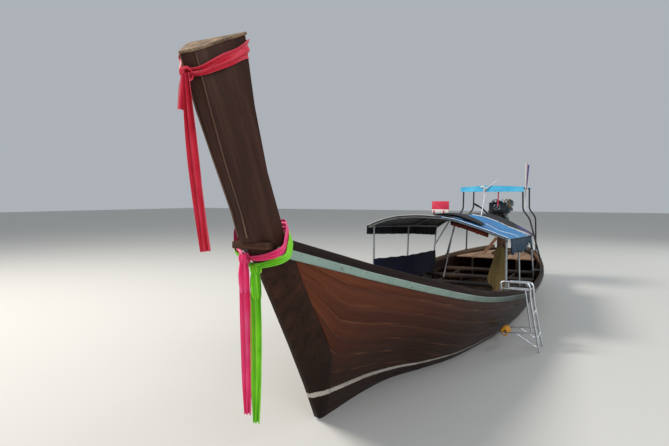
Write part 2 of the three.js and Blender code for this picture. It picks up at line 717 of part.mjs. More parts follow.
cloth('port_curtain', loft(CURTAIN.map((row) => {
  const y = POST_HALF_BREADTH * wideAt(row.x) + PIPE_R - 2.4;
  const z = bowHeight(row.x, 842 * wideAt(row.x)) - PIPE_R + 2.8;
  return [
    [row.x, y, z],
    [row.x, y + 16, z],
    [row.x, y + 40 + row.wave, z - row.deep],
    [row.x, y + 14 + row.wave, z - row.deep],
  ];
})), 0x5d7f9c);
const ROLL_R = 28;
const rollLine = [200, 300, 400, 520, 640].map((y) => [
  frontBow - 50, y, bowHeight(frontBow - 50, y) - (PIPE_R + ROLL_R - 3.9) * steepness(frontBow, y),
]);
cloth('rolled_screen', pipe(rollLine, ROLL_R, 10), 0x7a3a2c);

// Blank sign standing on the canopy ridge
const SIGN = { x: 300, y0: -130, y1: 90, z0: 1466, z1: 1610 };
const signFoot = (y0, y1) => {
  const rest = Math.max(...[y0, y1].map((y) => clothUnder(SIGN.x, y)));
  return box(SIGN.x - 16, SIGN.x + 16, y0, y1, rest + CLOTH_THICK + 0.7, SIGN.z0 + 30);
};
paint('sign_board', joined([
  box(SIGN.x - 6, SIGN.x + 6, SIGN.y0, SIGN.y1, SIGN.z0, SIGN.z1),
  signFoot(SIGN.y0 + 20, SIGN.y0 + 32),
  signFoot(SIGN.y1 - 72, SIGN.y1 - 60),
]), 0xd83c58, 0.5, 0);

// Standing back board inside the port side
wood('back_board', loft([
  [[275, 580, 400.35], [290, 580, 400.35], [290, 760, 400.35], [275, 760, 400.35]],
  [[215, 610, 1090], [230, 610, 1090], [230, 770, 1090], [215, 770, 1090]],
]), 0x8c7a3e);

// Engine canopy: two hoops standing on the rails with a flat cloth over them
const HOOPS = [{ x: -2850 }, { x: -3650 }];
const HOOP_TOP = 1825;
const hoopLine = (x, side) => {
  const row = hullAt(x);
  return [
    [x, side * (row.half - 24), row.sheer + 4],
    [x, side * Math.min(row.half - 40, 640), 1290],
    [x, side * 525, 1440],
    [x, side * 520, HOOP_TOP],
  ];
};
const shelter = [];
for (const hoop of HOOPS) {
  for (const side of [-1, 1]) shelter.push(pipe(hoopLine(hoop.x, side), 14));
  shelter.push(pipe([[hoop.x, -535, HOOP_TOP], [hoop.x, 0, HOOP_TOP + 30], [hoop.x, 535, HOOP_TOP]], 13));
  const feet = hullAt(hoop.x);
  for (const side of [-1, 1]) {
    const y = side * (feet.half - 24);
    shelter.push(box(hoop.x - 30, hoop.x + 30, y - 20, y + 20, feet.sheer + 1.6, feet.sheer + 9));
  }
}
for (const side of [-1, 1]) {
  shelter.push(pipe([[-2760, side * 520, HOOP_TOP], [-3740, side * 520, HOOP_TOP]], 13));
}
steel('engine_canopy_frame', joined(shelter), 0x2a2a2c);
const CYAN_Z = HOOP_TOP + 39.6;
const SKIRT_Z = HOOP_TOP - 60;
const cyanRing = (x) => [
  [x, -548, SKIRT_Z],
  [x, -544, SKIRT_Z],
  [x, -544, CYAN_Z - 26],
  [x, 0, CYAN_Z + 2],
  [x, 544, CYAN_Z - 26],
  [x, 544, SKIRT_Z],
  [x, 548, SKIRT_Z],
  [x, 548, CYAN_Z - 20],
  [x, 0, CYAN_Z + 8],
  [x, -548, CYAN_Z - 20],
];
const flapRing = (x) => [
  [x, -546, SKIRT_Z + 3],
  [x, 546, SKIRT_Z + 3],
  [x, 546, CYAN_Z - 23],
  [x, 0, CYAN_Z + 5],
  [x, -546, CYAN_Z - 23],
];
cloth('engine_canopy_cloth', joined([
  loft([-2745, -3760].map(cyanRing)),
  loft([-2743, -2750].map(flapRing)),
]), 0x46c8f5);

// Flag on its staff, clamped to the port front post of the engine canopy
const FLAG = { x: -2850, y: 566, foot: 1460, top: 2285 };
steel('flag_pole', joined([
  pipe([[FLAG.x, FLAG.y, FLAG.foot], [FLAG.x, FLAG.y, FLAG.top]], 10),
  box(FLAG.x - 14, FLAG.x + 14, 539, FLAG.y, 1490, 1520),
]), 0x9a9a98);
cloth('flag', loft([
  [[-7.4, 7.4], [-60, 40], [-50, 52], [1, 10.8]],
  [[-7.4, 7.4], [-92, 30], [-84, 44], [1, 10.8]],
].map((ring, i) => ring.map((p) => [
  FLAG.x + p[0], FLAG.y + p[1], i === 0 ? 1790 : 2265,
]))), 0xd9d2e4);

// Boarding ladder hooked over the port rail, with its stand-off float
const LADDER_X = [640, 920];
const LADDER_HEAD = { y: 1150, dy: 12, drop: 90 };
const LADDER_FOOT = { y: 1285, z: -150 };
const stileY = (z) => {
  const neck = hullAt(780).sheer - LADDER_HEAD.drop;
  const y0 = LADDER_HEAD.y + LADDER_HEAD.dy;
  return y0 + (LADDER_FOOT.y - y0) * ((neck - z) / (neck - LADDER_FOOT.z));
};
const FLOAT = { x0: 700, x1: 860, y: 884, z: 166, r: 50 };
const ladderPipes = [];
for (const x of LADDER_X) {
  const row = hullAt(x);
  const railIn = row.half - RAIL_WIDTH - 14;
  const railOut = LADDER_HEAD.y;
  const top = row.sheer + 100;
  ladderPipes.push(pipe([
    [x, railIn, row.sheer - 40],
    [x, railIn, top - 25],
    [x, railIn + 28, top],
    [x, railOut - 28, top],
    [x, railOut, top - 25],
    [x, railOut + LADDER_HEAD.dy, row.sheer - LADDER_HEAD.drop],
    [x, LADDER_FOOT.y, LADDER_FOOT.z],
  ], 12));
  ladderPipes.push(pipe([[x, railIn, row.sheer + 24], [x, railOut, row.sheer + 24]], 9));
  ladderPipes.push(pipe([[x, railOut - 45, row.sheer + 24], [x, stileY(200) - 45, 200]], 9));
  ladderPipes.push(box(x - 12, x + 12, railIn - 6, railIn + 12.2, row.sheer - 42, row.sheer - 14));
  ladderPipes.push(pipe([[x, stileY(205), 205], [x, 866, FLOAT.z]], 9));
  ladderPipes.push(pipe([[x, stileY(40), 40], [x, 1010, 180]], 8));
}
for (const z of [400, 150, -100]) {
  ladderPipes.push(pipe([[LADDER_X[0], stileY(z), z], [LADDER_X[1], stileY(z), z]], 10));
}
for (const y of [960, 1085]) {
  ladderPipes.push(pipe(LADDER_X.map((x) => [x, y, hullAt(x).sheer + 24]), 8));
}
ladderPipes.push(pipe([[LADDER_X[0] - 10, FLOAT.y, FLOAT.z], [LADDER_X[1] + 10, FLOAT.y, FLOAT.z]], 9));
steel('boarding_ladder', joined(ladderPipes), 0xc9ccce);
paint('ladder_float', minus(
  pipe([[FLOAT.x0, FLOAT.y, FLOAT.z], [FLOAT.x1, FLOAT.y, FLOAT.z]], FLOAT.r, 16),
  [pipe([[FLOAT.x0 - 20, FLOAT.y, FLOAT.z], [FLOAT.x1 + 20, FLOAT.y, FLOAT.z]], 9.75, 12)],
), 0xd9982a, 0.5, 0);

// Ribbons: a band round the wood, a knot in front and hanging tails
const strip = (points, halfWidth, thick) => loft(points.map((p) => [
  [p[0] - thick / 2, p[1] - halfWidth, p[2]],
  [p[0] + thick / 2, p[1] - halfWidth, p[2]],
  [p[0] + thick / 2, p[1] + halfWidth, p[2]],
  [p[0] - thick / 2, p[1] + halfWidth, p[2]],
]));
function prowAt(z, edge) {
  let i = 0;
  while (i < PROW.length - 2 && z > PROW[i + 1][edge]) i += 1;
  const a = PROW[i];
  const b = PROW[i + 1];
  const t = (z - a[edge]) / (b[edge] - a[edge]);
  const row = {};
  for (const key of ['frontX', 'frontZ', 'frontHalf', 'aftX', 'aftZ', 'aftHalf']) {
    row[key] = a[key] + (b[key] - a[key]) * t;
  }
  return row;
}
const RED_CLEAR = 0.8;
// The red band climbs from the knot in front to just under the cap behind
const RED_THICK = 6;
const RED_BAND = { frontLow: 2260, frontHigh: 2310, aftLow: 2392, aftHigh: 2482 };
function redRing(frontZ, aftZ, grow) {
  const front = prowAt(frontZ, 'frontZ');
  const aft = prowAt(aftZ, 'aftZ');
  return prowRing({ ...aft, frontX: front.frontX, frontZ: front.frontZ, frontHalf: front.frontHalf }, grow);
}
const redBand = minus(
  loft([
    redRing(RED_BAND.frontLow, RED_BAND.aftLow, RED_THICK),
    redRing(RED_BAND.frontHigh, RED_BAND.aftHigh, RED_THICK),
  ]),
  [prowSolid(RED_CLEAR)],
);
const RED_Z = 2284;
const RED_Y = -22;
const redX = prowAt(RED_Z, 'frontZ').frontX + 24;
const RED_KNOT = [[6, -34], [30, -18], [34, 6], [24, 26], [6, 34]];
const redKnot = turned(RED_KNOT, [redX, RED_Y, RED_Z], [0, 0.5, 1], 8);
const redTail = [
  [redX, RED_Y, 2270], [redX - 6, RED_Y + 12, 2000], [redX - 20, RED_Y + 44, 1700],
  [redX - 38, RED_Y + 74, 1374],
];
const redEnd = [
  [redX + 4, RED_Y - 20, 2270], [redX + 12, RED_Y - 26, 2180], [redX + 8, RED_Y - 18, 2110],
];
const TAIL_HALF = { long: 30, short: 20, low: 24, lowShort: 18 };
const TAIL_THICK = { long: 8, short: 7 };
const redPieces = joined([
  redBand,
  redKnot,
  strip(redTail, TAIL_HALF.long, TAIL_THICK.long),
  strip(redEnd, TAIL_HALF.short, TAIL_THICK.short),
]);
cloth('ribbon_red', minus(redPieces, [prowSolid(RED_CLEAR)]), 0xe12c48);

// Lower ribbons pass under the crossbeam, over the rails and behind the post
function ribbonBand(half, deep, thick) {
  const path = [
    ...half.map((p) => [p[0], -p[1], p[2]]),
    ...half.slice().reverse(),
  ];
  const rings = path.map((p) => {
    const out = new THREE.Vector2(p[0] - 4180, p[1]).normalize();
    return [
      [p[0], p[1], p[2]],
      [p[0] + out.x * thick, p[1] + out.y * thick, p[2]],
      [p[0] + out.x * thick, p[1] + out.y * thick, p[2] + deep],
      [p[0], p[1], p[2] + deep],
    ];
  });
  return joined(rings.map((ring, i) => loft([ring, rings[(i + 1) % rings.length]])));
}
const PINK_BAND = [
  [4260.1, 18, 1256],
  [4213.2, 104, 1258],
  [4165, 185, 1330],
  [4152, 184, 1442],
  [4140, 140, 1470],
];
const GREEN_BAND = [
  [4223.2, 17, 1206],
  [4189.3, 88, 1214],
  [4150, 178, 1288],
  [4136, 176, 1376],
  [4119, 150, 1400],
];
const PINK_X = 4282;
const PINK_Y = -40;
const GREEN_X = 4256;
const GREEN_Y = 26;
const PINK_DEEP = 52;
const GREEN_DEEP = 54;
const BAND_THICK = 6;
const KNOT = [[6, -30], [28, -16], [32, 6], [22, 24], [6, 30]];
const KNOT_AXIS = [0, 0.4, 1];
const KNOT_SIDES = 8;
const pinkTail = [
  [PINK_X, PINK_Y, 1280], [PINK_X + 6, PINK_Y - 4, 1000], [PINK_X, PINK_Y, 700],
  [PINK_X + 4, PINK_Y + 4, 345],
];
const pinkEnd = [
  [PINK_X - 2, PINK_Y + 4, 1280], [PINK_X + 14, PINK_Y + 14, 1180], [PINK_X + 6, PINK_Y + 8, 1090],
];
const greenTail = [
  [GREEN_X, GREEN_Y, 1216], [GREEN_X + 4, GREEN_Y + 4, 960], [GREEN_X - 2, GREEN_Y, 640],
  [GREEN_X + 4, GREEN_Y + 2, 290],
];
cloth('ribbon_pink', joined([
  ribbonBand(PINK_BAND, PINK_DEEP, BAND_THICK),
  turned(KNOT, [PINK_X, PINK_Y, 1288], KNOT_AXIS, KNOT_SIDES),
  strip(pinkTail, TAIL_HALF.low, TAIL_THICK.long),
  strip(pinkEnd, TAIL_HALF.lowShort, TAIL_THICK.short),
]), 0xee3f72);
cloth('ribbon_green', joined([
  ribbonBand(GREEN_BAND, GREEN_DEEP, BAND_THICK),
  turned(KNOT, [GREEN_X, GREEN_Y, 1222], KNOT_AXIS, KNOT_SIDES),
  strip(greenTail, TAIL_HALF.low, TAIL_THICK.long),
]), 0x6cb92a);

// Engine stand: a stout post on the stern deck with a foot and a brace
const STAND_TOP = 900;
const DECK_TOP = STERN_DECK_Z - 30 + DECK_THICK + SEAM_GAP;
const braceRing = (x0, x1, z0, z1) => [
  [PIVOT_X + x0, -35, z0],
  [PIVOT_X + x0, 35, z0],
  [PIVOT_X + x1, 35, z1],
  [PIVOT_X + x1, -35, z1],
];
const KINGPIN_R = 20;
const KINGPIN_DEPTH = 60;
const kingBore = turned(
  [[KINGPIN_R + 0.6, 0], [KINGPIN_R + 0.6, 200]], [PIVOT_X, 0, STAND_TOP - KINGPIN_DEPTH - 8], [0, 0, 1], 20,
);
const STAND_POST = { deep: 80, half: 85 };
const STAND_FOOT = { deep: 260, half: 150, high: 45 };
wood('engine_stand', minus(joined([
  box(PIVOT_X - STAND_POST.deep, PIVOT_X + STAND_POST.deep, -STAND_POST.half, STAND_POST.half,
    DECK_TOP, STAND_TOP),
  box(PIVOT_X - STAND_FOOT.deep, PIVOT_X + STAND_FOOT.deep, -STAND_FOOT.half, STAND_FOOT.half,
    DECK_TOP, DECK_TOP + STAND_FOOT.high),
  loft([
    braceRing(240, 180, DECK_TOP + 40, DECK_TOP + 40),
    braceRing(78, 40, STAND_TOP - 90, STAND_TOP - 120),
  ]),
]), [kingBore]), 0x4a3226);

// Swinging yoke: turntable plate, neck and two cheeks with the tilt pins
const YOKE_HALF = 150;
const TILT_PIN_R = 13;
const pinLine = (y0, y1, r, sides) => turned(
  [[r, 0], [r, y1 - y0]], [PIVOT_X, y0, PIVOT_Z], [0, 1, 0], sides,
);
const TURNTABLE = [[105, 0], [105, 22]];
const NECK = [[38, 0], [38, 70]];
const CHEEK_THICK = 14;
const CHEEK_HALF = 40;
const YOKE_BASE = { half: 55, low: 78, high: 94 };
const CHEEK_TOP = PIVOT_Z + 45;
const cheek = (y0) => box(
  PIVOT_X - CHEEK_HALF, PIVOT_X + CHEEK_HALF, y0, y0 + CHEEK_THICK, STAND_TOP + YOKE_BASE.low + 2, CHEEK_TOP,
);
steel('engine_yoke', joined([
  turned(TURNTABLE, [PIVOT_X, 0, STAND_TOP + 2], [0, 0, 1], 24),
  turned(
    [[KINGPIN_R, 0], [KINGPIN_R, KINGPIN_DEPTH + 10]],
    [PIVOT_X, 0, STAND_TOP - KINGPIN_DEPTH], [0, 0, 1], 20,
  ),
  turned(NECK, [PIVOT_X, 0, STAND_TOP + 16], [0, 0, 1], 16),
  box(PIVOT_X - YOKE_BASE.half, PIVOT_X + YOKE_BASE.half, -YOKE_HALF - CHEEK_THICK, YOKE_HALF + CHEEK_THICK,
    STAND_TOP + YOKE_BASE.low, STAND_TOP + YOKE_BASE.high),
  cheek(-YOKE_HALF - CHEEK_THICK),
  cheek(YOKE_HALF),
  pinLine(-YOKE_HALF - 20, -YOKE_HALF + 22, TILT_PIN_R, 16),
  pinLine(YOKE_HALF - 22, YOKE_HALF + 20, TILT_PIN_R, 16),
]), 0x3a3c40);

// Engine parts stand in the frame of the shaft: u forward along it, v to port, w up
const cosSlope = Math.cos(SHAFT_SLOPE);
const sinSlope = Math.sin(SHAFT_SLOPE);
const place = (u, v, w) => [
  PIVOT_X + u * cosSlope - w * sinSlope,
  v,
  PIVOT_Z + u * sinSlope + w * cosSlope,
];
const shaftDir = [cosSlope, 0, sinSlope];
function block(u0, u1, v0, v1, w0, w1) {
  const ring = (w) => [place(u0, v0, w), place(u1, v0, w), place(u1, v1, w), place(u0, v1, w)];
  return loft([ring(w0), ring(w1)]);
}
const barrel = (profile, u, v, w, sides) => turned(profile, place(u, v, w), shaftDir, sides);
const rodTo = (points, r, sides) => pipe(points.map((p) => place(p[0], p[1], p[2])), r, sides);
const SHAFT_W = 100;

// Cradle: two side rails with cross pieces and eyes on the tilt pins
const CRADLE_V = 118;
const RAIL = { aft: -40, fore: 640, half: 15, low: -20, high: 22 };
const CROSS_WIDE = 38;
const EYE_R = 34;
const EYE_OUT = 22;
const pinBore = pinLine(-200, 200, TILT_PIN_R + 1, 16);
const eye = (y0, y1) => pinLine(y0, y1, EYE_R, 20);
const sideRail = (v) => block(RAIL.aft, RAIL.fore, v - RAIL.half, v + RAIL.half, RAIL.low, RAIL.high);
const crossPiece = (u, top) => block(u, u + CROSS_WIDE, -CRADLE_V, CRADLE_V, RAIL.low + 2, top);
steel('engine_cradle', minus(joined([
  sideRail(-CRADLE_V),
  sideRail(CRADLE_V),
  crossPiece(560, 14),
  crossPiece(RAIL.aft, 12),
  eye(-CRADLE_V - EYE_OUT, -CRADLE_V + RAIL.half),
  eye(CRADLE_V - RAIL.half, CRADLE_V + EYE_OUT),
]), [pinBore]), 0x44464a);

// Block with sump, bell housing and front pulley, standing on the cradle
const metal = (name, geometry, color, roughness) => paint(name, geometry, color, roughness, 0.7);
const CRANKCASE = [110, 560, -88, 88, 23, 210];
const SUMP = [150, 520, -70, 70, -70, 40];
const BELL = [[122, 0], [128, 20], [96, 90]];
const CRANK_PULLEY = { profile: [[60, 0], [60, 30]], u: 556, w: 78 };
const FEET = { u: [190, 400], long: 70, inner: 84, outer: 126, low: 22.5, high: 66 };
const ALTERNATOR = { profile: [[30, 0], [52, 8], [52, 92], [30, 100]], u: 440, v: 166, w: 130 };
const ALTERNATOR_PULLEY = [[36, 0], [36, 22]];
const ALTERNATOR_ARM = [450, 500, 86, 130, 125, 140];
metal('engine_block', joined([
  block(...CRANKCASE),
  block(...SUMP),
  barrel(BELL, 30, 0, SHAFT_W, 20),
  barrel(CRANK_PULLEY.profile, CRANK_PULLEY.u, 0, CRANK_PULLEY.w, 16),
  ...FEET.u.flatMap((u) => [
    block(u, u + FEET.long, FEET.inner, FEET.outer, FEET.low, FEET.high),
    block(u, u + FEET.long, -FEET.outer, -FEET.inner, FEET.low, FEET.high),
  ]),
  barrel(ALTERNATOR.profile, ALTERNATOR.u, ALTERNATOR.v, ALTERNATOR.w, 14),
  barrel(ALTERNATOR_PULLEY, ALTERNATOR.u + 96, ALTERNATOR.v, ALTERNATOR.w, 14),
  block(...ALTERNATOR_ARM),
]), 0x3c4a52, 0.5);
const HEAD_CASTING = [120, 550, -78, 78, 210.4, 268];
const ROCKER_COVER = [140, 530, -52, 52, 266, 300];
const FILLER_CAP = [[22, 0], [22, 40]];
metal('cylinder_head', joined([
  block(...HEAD_CASTING),
  block(...ROCKER_COVER),
  barrel(FILLER_CAP, 250, 0, 318, 12),
]), 0x9a9da0, 0.4);

// Intake: a log along the head, two runners, a plenum and the round filter
const INTAKE_LOG = [160, 510, 78.4, 120, 214, 250];
const RUNNER_R = 18;
const RUNNERS = [
  [[200, 110, 232], [200, 165, 236], [240, 190, 250]],
  [[440, 110, 232], [440, 165, 236], [400, 190, 250]],
];
const PLENUM = { path: [[190, 190, 250], [460, 190, 250]], r: 26 };
const AIR_FILTER = { profile: [[34, 0], [56, 8], [56, 88], [34, 96]], u: 322, v: 190, w: 316 };
const FILTER_NECK = { path: [[370, 190, 256], [370, 190, 280]], r: 24 };
metal('intake', joined([
  block(...INTAKE_LOG),
  ...RUNNERS.map((path) => rodTo(path, RUNNER_R, 10)),
  rodTo(PLENUM.path, PLENUM.r, 12),
  barrel(AIR_FILTER.profile, AIR_FILTER.u, AIR_FILTER.v, AIR_FILTER.w, 16),
  rodTo(FILTER_NECK.path, FILTER_NECK.r, 10),
]), 0x8d9194, 0.45);

// Exhaust: manifold, pipe bent up and back, and the silencer along the side
const MANIFOLD = [170, 500, -98, -78.4, 214, 256];
const EXHAUST_R = 22;
const EXHAUST_PATH = [
  [430, -90, 235], [430, -140, 240], [400, -165, 244], [200, -175, 260], [80, -190, 330], [60, -195, 470],
];
const SECOND_PORT = { path: [[220, -90, 235], [220, -172, 255]], r: 18 };
const SILENCER = { profile: [[20, 0], [46, 14], [46, 170], [20, 184]], u: 190, v: -172, w: 262 };
metal('exhaust_pipe', joined([
  block(...MANIFOLD),
  rodTo(EXHAUST_PATH, EXHAUST_R, 12),
  rodTo(SECOND_PORT.path, SECOND_PORT.r, 10),
  barrel(SILENCER.profile, SILENCER.u, SILENCER.v, SILENCER.w, 14),
]), 0x6b4a3a, 0.7);

const CORE = [602, 650, -150, 150, 50, 192];
const TOP_TANK = [599, 654, -156, 156, 190, 214];
const LOW_TANK = [599, 654, -156, 156, 22.5, 52];
const RADIATOR_CAP = { path: [[626, 50, 208], [626, 50, 230]], r: 20 };
metal('radiator', joined([
  block(...CORE),
  block(...TOP_TANK),
  block(...LOW_TANK),
  rodTo(RADIATOR_CAP.path, RADIATOR_CAP.r, 12),
]), 0x24272b, 0.5);

const TILLER_PATH = [[560, -152, 0], [640, -170, -6], [760, -240, 50], [900, -370, 90]];
const TILLER_R = 15;
const GRIP = { path: [[830, -305, 70], [905, -374.6, 91.4]], r: 19 };
const TILLER_LUG = [520, 580, -152, -133.4, -16, 18];
steel('tiller', joined([
  rodTo(TILLER_PATH, TILLER_R, 8),
  rodTo(GRIP.path, GRIP.r, 10),
  block(...TILLER_LUG),
]), 0x2c2d30);

// Tail: gearbox flange, long shaft tube, skeg and bearing at the end
const TAIL_START = -60;
const TAIL_END = -3600;
const TAIL_R = 26;
const FLANGE = [[60, 0], [80, 40], [80, 89.6]];
const SKEG = { aft: -3560, fore: -3320, half: 5, low: 190, high: 10 };
const END_BEARING = [[34, 0], [34, 90]];
const SCREW_SHAFT_R = 13.5;
const BORE_R = SCREW_SHAFT_R + 0.8;
const tailPieces = [
  barrel(FLANGE, TAIL_START, 0, SHAFT_W, 20),
  rodTo([[TAIL_START + 20, 0, SHAFT_W], [TAIL_END, 0, SHAFT_W]], TAIL_R, 14),
  block(SKEG.aft, SKEG.fore, -SKEG.half, SKEG.half, SHAFT_W - SKEG.low, SHAFT_W - SKEG.high),
  barrel(END_BEARING, TAIL_END - 1, 0, SHAFT_W, 14),
];
const shaftBore = barrel([[BORE_R, 0], [BORE_R, 120]], TAIL_END - 20, 0, SHAFT_W, 14);
steel('tail_tube', minus(joined(tailPieces), [shaftBore]), 0x5c5f62);

// Propeller on its shaft end
const PROP_U = TAIL_END - 60;
const HUB = [[12, 0], [26, 14], [30, 52], [30, 56]];
const BLADE = [
  { r: 18, width: 0.34, pitch: 16 },
  { r: 70, width: 0.42, pitch: 18 },
  { r: 125, width: 0.26, pitch: 10 },
  { r: 138, width: 0.1, pitch: 4 },
];
const bladeNumbers = [0, 1, 2];
const bladeOf = (k) => {
  const turn = k * 2 * Math.PI / bladeNumbers.length;
  const out = (r, sweep, along) => {
    const a = turn + sweep;
    return place(PROP_U + along, r * Math.cos(a), SHAFT_W + r * Math.sin(a));
  };
  const section = (r, width, pitch) => [
    out(r, -width, -pitch - 2),
    out(r, width, pitch - 2),
    out(r, width, pitch + 3),
    out(r, -width, -pitch + 3),
  ];
  return loft(BLADE.map((row) => section(row.r, row.width, row.pitch)));
};
steel('propeller', joined([
  barrel(HUB, PROP_U - 30, 0, SHAFT_W, 16),
  barrel([[SCREW_SHAFT_R, 0], [SCREW_SHAFT_R, 100]], PROP_U + 20, 0, SHAFT_W, 14),
  ...bladeNumbers.map(bladeOf),
]), 0xb08d4a);

export default root;
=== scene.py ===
# %% [markdown]
# A wooden longtail boat, afloat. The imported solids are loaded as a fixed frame: +X is the bow,
# +Y is port, +Z is up, and z = 0 is the water. Each solid then gets its real surface, or a finer
# piece of the same form that stands for it.

# %% Load the frame
import json
import math

import bpy
import numpy as np
from mathutils import Matrix, Vector

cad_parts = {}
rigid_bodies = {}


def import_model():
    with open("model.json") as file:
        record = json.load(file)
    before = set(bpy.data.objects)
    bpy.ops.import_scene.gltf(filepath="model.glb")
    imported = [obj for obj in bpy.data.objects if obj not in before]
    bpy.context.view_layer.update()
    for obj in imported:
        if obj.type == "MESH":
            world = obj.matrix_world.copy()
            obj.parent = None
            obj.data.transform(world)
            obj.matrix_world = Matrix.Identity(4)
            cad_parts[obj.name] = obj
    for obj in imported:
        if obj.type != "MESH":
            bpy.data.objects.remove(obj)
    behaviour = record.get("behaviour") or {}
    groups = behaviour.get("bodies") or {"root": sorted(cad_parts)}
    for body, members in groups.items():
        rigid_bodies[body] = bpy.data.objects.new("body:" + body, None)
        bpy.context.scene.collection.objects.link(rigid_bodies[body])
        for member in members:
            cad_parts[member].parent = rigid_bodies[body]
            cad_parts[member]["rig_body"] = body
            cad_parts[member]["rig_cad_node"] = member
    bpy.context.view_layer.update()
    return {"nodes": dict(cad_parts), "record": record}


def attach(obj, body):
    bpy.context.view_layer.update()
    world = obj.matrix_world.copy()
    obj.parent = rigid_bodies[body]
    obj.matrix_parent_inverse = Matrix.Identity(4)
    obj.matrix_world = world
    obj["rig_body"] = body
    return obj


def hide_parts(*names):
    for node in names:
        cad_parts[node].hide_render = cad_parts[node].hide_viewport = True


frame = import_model()

# %% [markdown]
# The camera stands a little forward of the bow on the port side, at eye height over the water.
# Its lens and place are worked out from the waterline, the rails and the horizon.

# %% Camera
CAMERA_PLACE = Vector((6.78, 1.908, 1.65))
CAMERA_LEVEL_AIM = Vector((-0.8823, -0.4708, 0.0))
CAMERA_PITCH = math.radians(2.75)
SENSOR_WIDTH = 36.0
FOCAL_PIXELS, FRAME_PIXELS = 520, 669

camera_data = bpy.data.cameras.new("portrait_camera")
camera_data.sensor_fit = "HORIZONTAL"
camera_data.sensor_width = SENSOR_WIDTH
camera_data.lens = SENSOR_WIDTH * FOCAL_PIXELS / FRAME_PIXELS
camera_data.clip_start, camera_data.clip_end = 0.05, 400
camera = bpy.data.objects.new("portrait_camera", camera_data)
bpy.context.scene.collection.objects.link(camera)
aim = CAMERA_LEVEL_AIM.normalized() * math.cos(CAMERA_PITCH) + Vector((0, 0, -math.sin(CAMERA_PITCH)))
camera.location = CAMERA_PLACE
camera.rotation_euler = aim.to_track_quat("-Z", "Y").to_euler()
bpy.context.scene.camera = camera

# %% [markdown]
# A big soft key from high on the starboard side lights the canopies, the cap and the rails, and
# leaves the port planking in open shade. A wide fill from the port bow keeps that shade readable.

# %% Studio light
HULL_MIDDLE = Vector((0.0, 0.0, 0.7))


def soft_lamp(name, place, size, watts, colour):
    data = bpy.data.lights.new(name, "AREA")
    data.shape, data.size, data.energy, data.color = "DISK", size, watts, colour
    lamp = bpy.data.objects.new(name, data)
    bpy.context.scene.collection.objects.link(lamp)
    lamp.location = place
    lamp.rotation_euler = (HULL_MIDDLE - lamp.location).to_track_quat("-Z", "Y").to_euler()


soft_lamp("key_lamp", Vector((5.5, -9.0, 11.0)), 4.5, 2100, (1.0, 0.96, 0.9))
soft_lamp("fill_lamp", Vector((11.0, 9.0, 5.0)), 8.0, 620, (0.93, 0.97, 1.0))
soft_lamp("stern_lamp", Vector((-11.0, 7.0, 8.0)), 6.0, 500, (0.95, 0.98, 1.0))
world = bpy.data.worlds.new("pale_room")
world.use_nodes = True
world.node_tree.nodes["Background"].inputs["Color"].default_value = (0.80, 0.86, 0.92, 1)
world.node_tree.nodes["Background"].inputs["Strength"].default_value = 0.52
bpy.context.scene.world = world
bpy.context.scene.view_settings.view_transform = "Standard"

# %% [markdown]
# Colours are picked as on a screen, in sRGB, and Blender works in linear light, so one function
# turns a hex value. Another adds a shader node with its settings and links.

# %% Colour and node helpers


def linear(hex_colour):
    parts = [int(hex_colour[i:i + 2], 16) / 255 for i in (1, 3, 5)]
    return tuple(c / 12.92 if c <= 0.04045 else ((c + 0.055) / 1.055) ** 2.4 for c in parts) + (1.0,)


def add(tree, kind, inputs=None, **settings):
    made = tree.nodes.new("ShaderNode" + kind)
    for name, value in settings.items():
        setattr(made, name, value)
    for name, value in (inputs or {}).items():
        if isinstance(value, bpy.types.NodeSocket):
            tree.links.new(value, made.inputs[name])
        else:
            made.inputs[name].default_value = value
    return made


def coords(tree, kind="Object"):
    return add(tree, "TexCoord").outputs[kind]


def axes_of(tree, place):
    return add(tree, "SeparateXYZ", {0: place}).outputs


def stretched(tree, place, scale):
    return add(tree, "Mapping", {"Vector": place, "Scale": scale}).outputs[0]


def noise(tree, place, scale, detail=2.0, roughness=0.5, distortion=0.0):
    look = {"Scale": scale, "Detail": detail, "Roughness": roughness, "Distortion": distortion}
    return add(tree, "TexNoise", {"Vector": place, **look}).outputs["Fac"]


def work_out(tree, operation, first, second=0.0):
    return add(tree, "Math", {0: first, 1: second}, operation=operation).outputs[0]


def new_finish(name, metallic=0.0, ior=1.5, **shader_values):
    material = bpy.data.materials.new(name)
    material.use_nodes = True
    tree = material.node_tree
    shader = tree.nodes["Principled BSDF"]
    shader.inputs["Metallic"].default_value = metallic
    shader.inputs["IOR"].default_value = ior
    for key, value in shader_values.items():
        shader.inputs[key.replace("_", " ").title()].default_value = value
    return material, tree, shader


def blend_colours(tree, share, first, second, way="MIX"):
    """first and second are colours from other nodes, or hex values."""
    first, second = (linear(c) if isinstance(c, str) else c for c in (first, second))
    mixed = add(tree, "Mix", {0: share, 6: first, 7: second}, data_type="RGBA", blend_type=way)
    return mixed.outputs[2]


def between(tree, value, low, high, out_low=0.0, out_high=1.0):
    """Share of the way that value is from low to high, held inside the two ends."""
    ends = {"Value": value, "From Min": low, "From Max": high, "To Min": out_low, "To Max": out_high}
    return add(tree, "MapRange", ends).outputs["Result"]


def link_finish(tree, shader, tone, rough, height, strength, distance, **bump_settings):
    """Link a finish's colour and roughness, and a fine bump from its height."""
    bump = add(tree, "Bump", {"Height": height, "Strength": strength, "Distance": distance}, **bump_settings)
    for name, socket in (("Base Color", tone), ("Roughness", rough), ("Normal", bump.outputs[0])):
        tree.links.new(socket, shader.inputs[name])


def current_colour(material):
    """A finish's node tree, its base colour's input, and what feeds that input."""
    tree = material.node_tree
    base = tree.nodes["Principled BSDF"].inputs["Base Color"]
    return tree, base, base.links[0].from_socket


def speckled(name, dark, light, scale, low, high, detail=2.0, **shader_values):
    """A plain finish in two tones, mixed by noise."""
    material, tree, shader = new_finish(name, **shader_values)
    share = between(tree, noise(tree, coords(tree), scale, detail), low, high)
    tree.links.new(blend_colours(tree, share, dark, light), shader.inputs["Base Color"])
    return material



